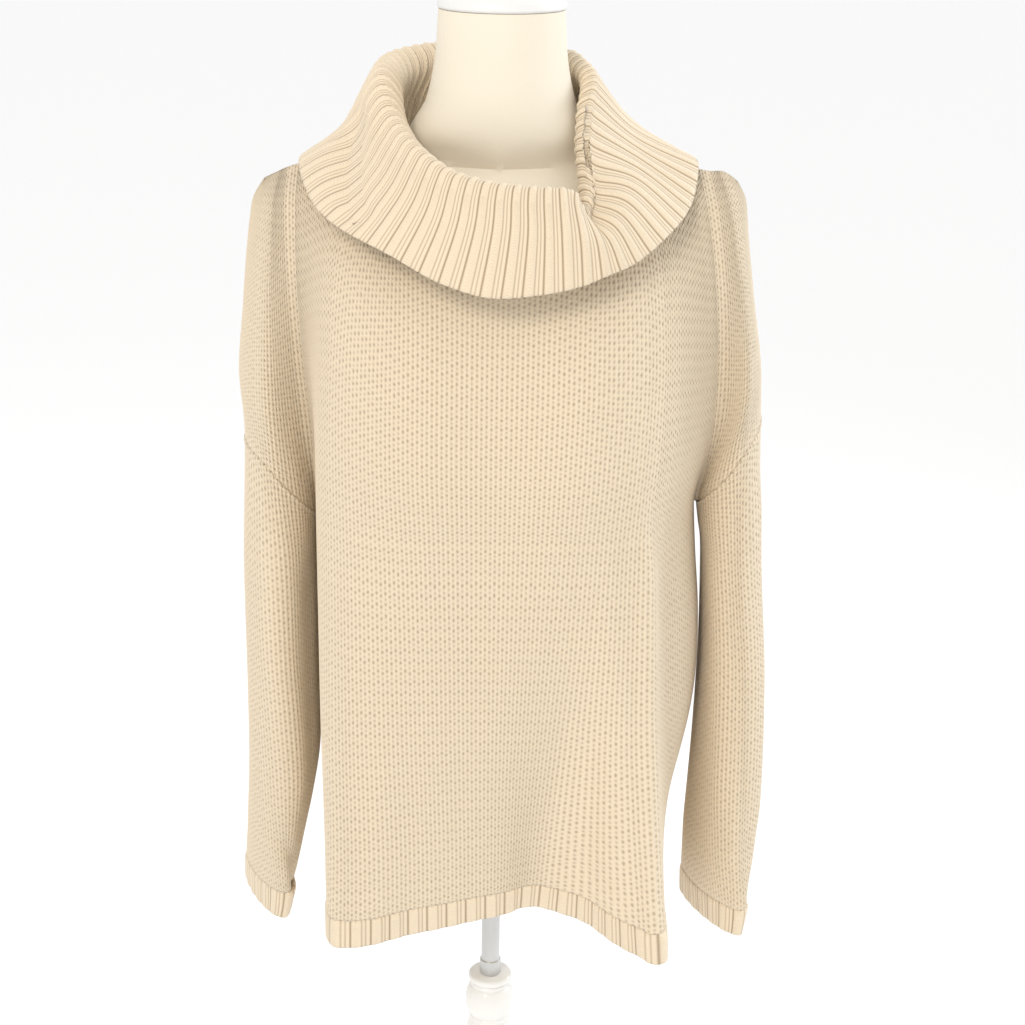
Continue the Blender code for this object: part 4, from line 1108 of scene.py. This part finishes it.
class Graph:
    """A material's node graph, with short calls for its steps."""

    def __init__(self, name: str) -> None:
        """Starts a material with its shader.

        Args:
            name: The material's name.
        """
        self.material = bpy.data.materials.new(name)
        self.material.use_nodes = True
        self.tree = self.material.node_tree
        self.shader = self.tree.nodes["Principled BSDF"]

    def node(self, kind: str, **settings: object) -> bpy.types.Node:
        """A new node with its settings."""
        made = self.tree.nodes.new(kind)
        for key, value in settings.items():
            setattr(made, key, value)
        return made

    def link(self, source: object, target: Socket) -> None:
        """Joins a socket, or gives a plain value, to a socket."""
        if isinstance(source, Socket):
            self.tree.links.new(source, target)
        else:
            target.default_value = source

    def math(self, operation: str, first: object, second: object = 0.0, third: object = 0.0) -> Socket:
        """The result of a Math node."""
        made = self.node("ShaderNodeMath", operation=operation)
        for k, value in enumerate((first, second, third)):
            self.link(value, made.inputs[k])
        return made.outputs[0]

    def mix(self, share: object, first: object, second: object) -> Socket:
        """Two colours mixed by a share."""
        made = self.node("ShaderNodeMix", data_type="RGBA")
        self.link(share, made.inputs[0])
        self.link(first, made.inputs[6])
        self.link(second, made.inputs[7])
        return made.outputs[2]

    def noise(self, vector: object, scale: float, detail: float = 2.0) -> Socket:
        """A Noise texture's value."""
        made = self.node("ShaderNodeTexNoise")
        if vector is not None:
            self.link(vector, made.inputs["Vector"])
        made.inputs["Scale"].default_value = scale
        made.inputs["Detail"].default_value = detail
        return made.outputs[0]

    def bell(self, value: object, half: float) -> Socket:
        """exp(-(value / half) squared)."""
        scaled = self.math("DIVIDE", value, half)
        return self.math("POWER", math.e, self.math("MULTIPLY", self.math("MULTIPLY", scaled, scaled), -1.0))

    def bump(self, height: object, distance: float, strength: float = 1.0) -> None:
        """Raises the surface by a height in the shader."""
        made = self.node("ShaderNodeBump")
        self.link(height, made.inputs["Height"])
        made.inputs["Distance"].default_value = distance
        made.inputs["Strength"].default_value = strength
        self.link(made.outputs[0], self.shader.inputs["Normal"])


@dataclass(frozen=True)
class YarnFinish:
    """Cream wool yarn: its colours, and how strongly painted shade darkens the stitches between the loops."""

    name: str
    light: tuple[float, float, float]
    shade: tuple[float, float, float]
    # How far the colour of the holes goes towards the shade colour: painted shade, not a depth.
    hole_shade_strength: float = 0.66

    def knit(self) -> bpy.types.Material:
        """The body's half-cardigan stitch, drawn in stitch coordinates, with painted shade in its holes."""
        graph = Graph(self.name)
        wale, course, obj = self._coordinates(graph)
        column = graph.math("FLOOR", wale)
        parity = graph.math("MODULO", graph.math("ABSOLUTE", column), 2.0)
        jitter = graph.math("MULTIPLY", graph.math("SUBTRACT", graph.noise(obj, 60.0), 0.5), 0.36)
        shifted = graph.math("ADD", graph.math("ADD", course, graph.math("MULTIPLY", parity, 0.25)), jitter)
        across = graph.math("SUBTRACT", graph.math("FRACT", wale), 0.5)
        along = graph.math("SUBTRACT", graph.math("FRACT", graph.math("ADD", shifted, 0.5)), 0.5)
        half_way = graph.math("SUBTRACT", graph.math("FRACT", shifted), 0.5)
        beside = graph.bell(across, 0.21)
        deep = graph.math("MULTIPLY", beside, graph.bell(along, 0.165))
        small = graph.math("MULTIPLY", beside, graph.bell(half_way, 0.13))
        # The holes' mask, which _finish also uses for the painted shade in the stitch holes.
        hole = graph.math("ADD", deep, graph.math("MULTIPLY", small, 0.68))
        ridge = graph.math("ABSOLUTE", across)
        slanted = graph.math(
            "SUBTRACT", graph.math("MULTIPLY", shifted, 4.0), graph.math("MULTIPLY", ridge, 2.6)
        )
        strand = graph.math("SINE", graph.math("MULTIPLY", slanted, 2 * math.pi))
        height = graph.math("SUBTRACT", graph.math("MULTIPLY", ridge, 0.9), graph.math("MULTIPLY", hole, 0.9))
        height = graph.math("ADD", height, graph.math("MULTIPLY", strand, 0.10))
        self._finish(graph, obj, height, hole, strand, 0.0011)
        return graph.material

    def rib(self) -> bpy.types.Material:
        """The ribbed bands: stitch columns with grooves between them, the grooves darkened with painted
        shade.
        """
        graph = Graph(self.name)
        rib, course, obj = self._coordinates(graph)
        share = graph.math("FRACT", rib)
        broad = graph.math("SUBTRACT", share, 0.26)
        zigzag = graph.math("SUBTRACT", course, graph.math("MULTIPLY", graph.math("ABSOLUTE", broad), 4.0))
        strand = graph.math("SINE", graph.math("MULTIPLY", zigzag, 2 * math.pi))
        strand = graph.math("MULTIPLY", strand, graph.bell(broad, 0.22))
        # The grooves and the gaps beside the cords make up the hole mask, painted darker in _finish as shade.
        groove = graph.bell(
            graph.math("SUBTRACT", graph.math("FRACT", graph.math("ADD", rib, 0.5)), 0.5), 0.05
        )
        second = graph.bell(graph.math("SUBTRACT", share, 0.555), 0.04)
        third = graph.math("MULTIPLY", graph.bell(graph.math("SUBTRACT", share, 0.75), 0.035), 0.6)
        hole = graph.math("ADD", graph.math("ADD", groove, graph.math("MULTIPLY", second, 0.6)), third)
        height = graph.math(
            "SUBTRACT", graph.math("MULTIPLY", strand, 0.22), graph.math("MULTIPLY", hole, 0.8)
        )
        self._finish(graph, obj, height, hole, strand, 0.0009)
        return graph.material

    def _coordinates(self, graph: Graph) -> tuple[Socket, Socket, Socket]:
        """Stitch coordinates along both ways, and the object's own coordinates."""
        stitches = graph.node("ShaderNodeUVMap", uv_map="stitches").outputs[0]
        parts = graph.node("ShaderNodeSeparateXYZ")
        graph.link(stitches, parts.inputs[0])
        obj = graph.node("ShaderNodeTexCoord").outputs["Object"]
        return parts.outputs[0], parts.outputs[1], obj

    def _finish(
        self, graph: Graph, obj: object, height: object, hole: object, strand: object, depth: float
    ) -> None:
        """Yarn colour with painted shade in its holes, its fuzz, and the relief that the mesh is too coarse
        for.
        """
        fibres = graph.noise(obj, 1400.0, 3.0)
        patches = graph.noise(obj, 9.0, 2.0)
        # Painted shade: the stitch holes and rib grooves are coloured towards the shade colour.
        painted_hole_shade = graph.math("MINIMUM", graph.math("MULTIPLY", hole, self.hole_shade_strength), 1.0)
        shaded = (*[c * 0.93 for c in self.light], 1.0)
        light = graph.mix(graph.math("MULTIPLY", patches, 0.35), (*self.light, 1.0), shaded)
        light = graph.mix(graph.math("MULTIPLY_ADD", strand, 0.06, 0.06), light, (*self.shade, 1.0))
        graph.link(graph.mix(painted_hole_shade, light, (*self.shade, 1.0)), graph.shader.inputs["Base Color"])
        fuzz = graph.math("MULTIPLY", graph.math("SUBTRACT", fibres, 0.5), 0.25)
        graph.bump(graph.math("ADD", height, fuzz), depth, 0.9)
        graph.shader.inputs["Roughness"].default_value = 0.88
        graph.shader.inputs["Sheen Weight"].default_value = 0.25
        graph.shader.inputs["Sheen Roughness"].default_value = 0.5


@dataclass(frozen=True)
class JerseyFinish:
    """The smooth knitted cover of the dress form."""

    colour: tuple[float, float, float] = (0.80, 0.735, 0.61)

    def build(self) -> bpy.types.Material:
        """Off-white jersey with fine courses and a soft change of tone."""
        graph = Graph("jersey_cover")
        obj = graph.node("ShaderNodeTexCoord").outputs["Object"]
        tone = graph.noise(obj, 14.0, 3.0)
        graph.link(
            graph.mix(
                graph.math("MULTIPLY", tone, 0.4),
                (*self.colour, 1.0),
                (*[c * 0.92 for c in self.colour], 1.0),
            ),
            graph.shader.inputs["Base Color"],
        )
        fine = graph.noise(obj, 900.0, 2.0)
        coarse = graph.noise(obj, 120.0, 2.0)
        graph.bump(graph.math("ADD", fine, graph.math("MULTIPLY", coarse, 0.6)), 0.0003, 0.5)
        graph.shader.inputs["Roughness"].default_value = 0.8
        graph.shader.inputs["Sheen Weight"].default_value = 0.15
        return graph.material


@dataclass(frozen=True)
class HardFinish:
    """Paint, moulded plastic or metal of the stand."""

    name: str
    colour: tuple[float, float, float]
    roughness: float
    metallic: float = 0.0
    coat: float = 0.0

    def build(self) -> bpy.types.Material:
        """A satin surface with slight brush marks and a little wear in its tone."""
        graph = Graph(self.name)
        obj = graph.node("ShaderNodeTexCoord").outputs["Object"]
        tone = graph.noise(obj, 22.0, 4.0)
        worn = graph.mix(
            graph.math("MULTIPLY", tone, 0.35), (*self.colour, 1.0), (*[c * 0.88 for c in self.colour], 1.0)
        )
        graph.link(worn, graph.shader.inputs["Base Color"])
        rough = graph.math("MULTIPLY_ADD", tone, 0.15, self.roughness - 0.07)
        graph.link(rough, graph.shader.inputs["Roughness"])
        graph.bump(graph.noise(obj, 260.0, 3.0), 0.00015, 0.4)
        graph.shader.inputs["Metallic"].default_value = self.metallic
        graph.shader.inputs["Coat Weight"].default_value = self.coat
        return graph.material


@dataclass
class DressForm:
    """The limbless torso with its neck."""

    segments: int = 96
    row_step: float = 0.008

    def build(self, material: bpy.types.Material) -> bpy.types.Object:
        """Makes the torso as one smooth closed body.

        Args:
            material: The cover's finish.

        Returns:
            The new piece.
        """
        table = sorted(FORM)
        zs = [row[0] for row in table]
        heights = [low + (high - low) * k / n for low, high in zip(zs, zs[1:])
                   for n in [max(1, round((high - low) / self.row_step))] for k in range(n)] + [zs[-1]]
        rows = smooth_line([row[1:] for row in table], np.interp(heights, zs, range(len(zs))))
        angle = 2 * math.pi * np.arange(self.segments + 1) / self.segments
        c, s = np.cos(angle), np.sin(angle)
        grid = np.empty((len(heights), self.segments + 1, 3))
        for k, (z, (half, front, back, power)) in enumerate(zip(heights, rows)):
            grid[k, :, 0] = half * np.sign(c) * np.abs(c) ** (2 / power)
            grid[k, :, 1] = np.where(s > 0, back, -front) * np.sign(s) * np.abs(s) ** (2 / power)
            grid[k, :, 2] = z
        shell = ClothShell("dress_form_cover")
        shell.add(grid, grid[..., :2] * 10.0, False)
        bmesh.ops.remove_doubles(shell.bm, verts=shell.bm.verts[:], dist=1e-5)
        ends = [edge for edge in shell.bm.edges if edge.is_boundary]
        bmesh.ops.holes_fill(shell.bm, edges=ends, sides=0)
        bmesh.ops.recalc_face_normals(shell.bm, faces=shell.bm.faces[:])
        piece = shell.finish(material)
        piece.data.set_sharp_from_angle(angle=math.radians(50))
        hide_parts("dress_form")
        return piece


@dataclass
class TurnedPiece:
    """A round piece of the stand, turned from its profile."""

    name: str
    node: str
    profile: tuple[tuple[float, float], ...]
    steps: int = 96
    rounding: float = 0.0006
    sharp: float = 40.0

    def build(self, material: bpy.types.Material) -> bpy.types.Object:
        """Spins the profile round the axis and softens its edges.

        Args:
            material: The finish.

        Returns:
            The new piece.
        """
        bm = bmesh.new()
        line = [(0.0, self.profile[0][1]), *self.profile, (0.0, self.profile[-1][1])]
        verts = [bm.verts.new((radius, 0.0, z)) for radius, z in line]
        edges = [bm.edges.new(pair) for pair in zip(verts, verts[1:])]
        bmesh.ops.spin(
            bm, geom=verts + edges, cent=(0, 0, 0), axis=(0, 0, 1),
            angle=2 * math.pi, steps=self.steps, use_merge=True,
        )
        bmesh.ops.remove_doubles(bm, verts=bm.verts[:], dist=1e-5)
        bmesh.ops.recalc_face_normals(bm, faces=bm.faces[:])
        mesh = bpy.data.meshes.new(self.name)
        bm.to_mesh(mesh)
        bm.free()
        mesh.shade_smooth()
        mesh.set_sharp_from_angle(angle=math.radians(self.sharp))
        mesh.materials.append(material)
        piece = bpy.data.objects.new(self.name, mesh)
        bpy.context.scene.collection.objects.link(piece)
        bevel = piece.modifiers.new("rounding", "BEVEL")
        bevel.width = self.rounding
        bevel.segments = 2
        bevel.limit_method = "ANGLE"
        bevel.angle_limit = math.radians(self.sharp)
        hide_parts(self.node)
        return piece


@dataclass
class Studio:
    """The pale floor, the soft lights and the camera at the picture's angle."""

    floor_size: float = 40.0

    def build(self) -> None:
        """Sets up floor, world, lights and camera."""
        self._floor()
        self._world()
        for name, place, aim, size, energy, colour in (
            ("key_light", (-0.9, -2.2, 2.7), (0.0, 0.0, 1.05), 0.8, 27.0, (1.0, 0.92, 0.81)),
            ("fill_light", (1.8, -1.6, 1.6), (0.0, 0.0, 1.0), 1.2, 2.5, (1.0, 0.95, 0.88)),
            ("window_light", (1.9, 0.9, 1.9), (0.15, 0.0, 1.1), 0.8, 22.0, (0.88, 0.94, 1.0)),
        ):
            self._light(name, Vector(place), Vector(aim), size, energy, colour)
        self._camera()

    def _floor(self) -> None:
        """A wide pale floor."""
        bm = bmesh.new()
        bmesh.ops.create_grid(bm, x_segments=1, y_segments=1, size=self.floor_size / 2)
        mesh = bpy.data.meshes.new("studio_floor")
        bm.to_mesh(mesh)
        bm.free()
        graph = Graph("pale_floor")
        graph.shader.inputs["Base Color"].default_value = (1.0, 1.0, 1.0, 1.0)
        graph.shader.inputs["Roughness"].default_value = 0.9
        mesh.materials.append(graph.material)
        floor = bpy.data.objects.new("studio_floor", mesh)
        bpy.context.scene.collection.objects.link(floor)

    @staticmethod
    def _world() -> None:
        """An even white surround."""
        world = bpy.data.worlds.new("surround")
        bpy.context.scene.world = world
        world.use_nodes = True
        background = world.node_tree.nodes["Background"]
        background.inputs[0].default_value = (1.0, 1.0, 1.0, 1.0)
        background.inputs[1].default_value = 0.95

    @staticmethod
    def _light(
        name: str, place: Vector, aim: Vector, size: float, energy: float, colour: Sequence[float]
    ) -> None:
        """A square soft light aimed at a point."""
        data = bpy.data.lights.new(name, "AREA")
        data.size, data.energy, data.color = size, energy, colour
        light = bpy.data.objects.new(name, data)
        light.location = place
        light.rotation_euler = (aim - place).to_track_quat("-Z", "Y").to_euler()
        bpy.context.scene.collection.objects.link(light)

    @staticmethod
    def _camera() -> None:
        """The camera of the picture."""
        data = bpy.data.cameras.new("picture_camera")
        data.sensor_width = 36.0
        data.lens = FOCAL_PIXELS / IMAGE_SIZE * 36.0
        camera = bpy.data.objects.new("picture_camera", data)
        camera.matrix_world = (
            Matrix.Translation(CAMERA_PLACE)
            @ Matrix.Rotation(math.pi / 2 - CAMERA_PITCH, 4, "X")
            @ Matrix.Rotation(CAMERA_ROLL, 4, "Z")
        )
        bpy.context.scene.collection.objects.link(camera)
        bpy.context.scene.camera = camera


@dataclass
class Sweater:
    """The whole garment."""

    net: SweaterNet = field(default_factory=SweaterNet)
    stitch: KnitStitch = field(default_factory=KnitStitch)
    hem_ribs: tuple[int, int] = (34, 30)
    cuff_ribs: int = 14

    def build(self) -> list[bpy.types.Object]:
        """Makes every cloth piece.

        Returns:
            The pieces.
        """
        # Each yarn's second colour is the painted shade of its stitch holes and rib grooves.
        knit = YarnFinish("cream_knit", (0.82, 0.695, 0.515), (0.34, 0.235, 0.135)).knit()
        rib = YarnFinish("cream_rib", (0.81, 0.685, 0.51), (0.32, 0.22, 0.125), 0.8).rib()
        made = [BodyPanel(face, self.net, self.stitch).build(knit) for face in Face]
        made += [Sleeve(side, self.net, self.stitch).build(knit) for side in Side]
        made += [band.build(rib) for band in self._bands()]
        made.append(CowlCollar(self.net).build(rib))
        return made

    def _bands(self) -> list[RibBand]:
        """The hem's bands and the cuffs."""
        net = self.net
        ring = net.body[:4]
        back = [k % ring.shape[1] for k in range(net.n_front - 1, net.n_front - 1 + net.n_back)]
        bands = [
            RibBand("hem_rib_front_band", "hem_rib_front", ring[:, : net.n_front], self.hem_ribs[0], False,
                    (0.58, 0.0275), "front_panel_knit", Face.FRONT),
            RibBand("hem_rib_back_band", "hem_rib_back", ring[:, back], self.hem_ribs[1], False,
                    (0.48, 0.0275), "back_panel_knit", Face.BACK),
        ]
        for side in Side:
            rows = net.sleeves[side][:4]
            rows = rows[:, ::-1] if side is Side.LEFT else rows
            name = f"cuff_{side.name.lower()}"
            bands.append(RibBand(name + "_band", name, rows, self.cuff_ribs, True, (0.22, 0.0285),
                                 f"sleeve_{side.name.lower()}_knit"))
        return bands


@dataclass
class Stand:
    """The neck cap, pole, turned column and round foot."""

    def build(self) -> list[bpy.types.Object]:
        """Makes every hard piece.

        Returns:
            The pieces.
        """
        paint = HardFinish("white_paint", (0.84, 0.83, 0.80), 0.36, coat=0.3).build()
        metal = HardFinish("grey_tube", (0.60, 0.60, 0.59), 0.35, metallic=0.6).build()
        plastic = HardFinish("grey_cap", (0.78, 0.78, 0.77), 0.45).build()
        cap = ((0.0200, 1.4340), (0.0380, 1.4315), (0.0490, 1.4270), (0.0535, 1.4210), (0.0535, 1.4153))
        pole = ((0.00875, 0.6677), (0.00875, 0.5120), (0.0102, 0.5110), (0.0102, 0.4963))
        foot = (
            (0.1300, 0.0260), (0.1420, 0.0235), (0.1480, 0.0180),
            (0.1500, 0.0110), (0.1500, 0.0030), (0.1470, 0.0),
        )
        return [
            TurnedPiece("neck_cap_top", "neck_cap", cap, rounding=0.002, sharp=60.0).build(plastic),
            TurnedPiece("pole_tube", "stand_pole", pole, rounding=0.0004).build(metal),
            TurnedPiece("turned_column", "stand_column", COLUMN, sharp=55.0).build(paint),
            TurnedPiece("round_foot", "stand_base", foot, sharp=60.0, rounding=0.001).build(paint),
        ]


def main() -> None:
    """Builds the dressed part piece by piece."""
    logging.basicConfig(level=logging.INFO, format="%(message)s")
    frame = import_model()
    LOG.info("frame of %d nodes", len(frame["nodes"]))
    Studio().build()
    pieces = Sweater().build()
    pieces.append(DressForm().build(JerseyFinish().build()))
    pieces += Stand().build()
    for piece in pieces:
        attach(piece, "root")
        LOG.info("%s: %d faces", piece.name, len(piece.data.polygons))
    bpy.context.scene.view_settings.view_transform = "Standard"


if __name__ == "__main__":
    main()
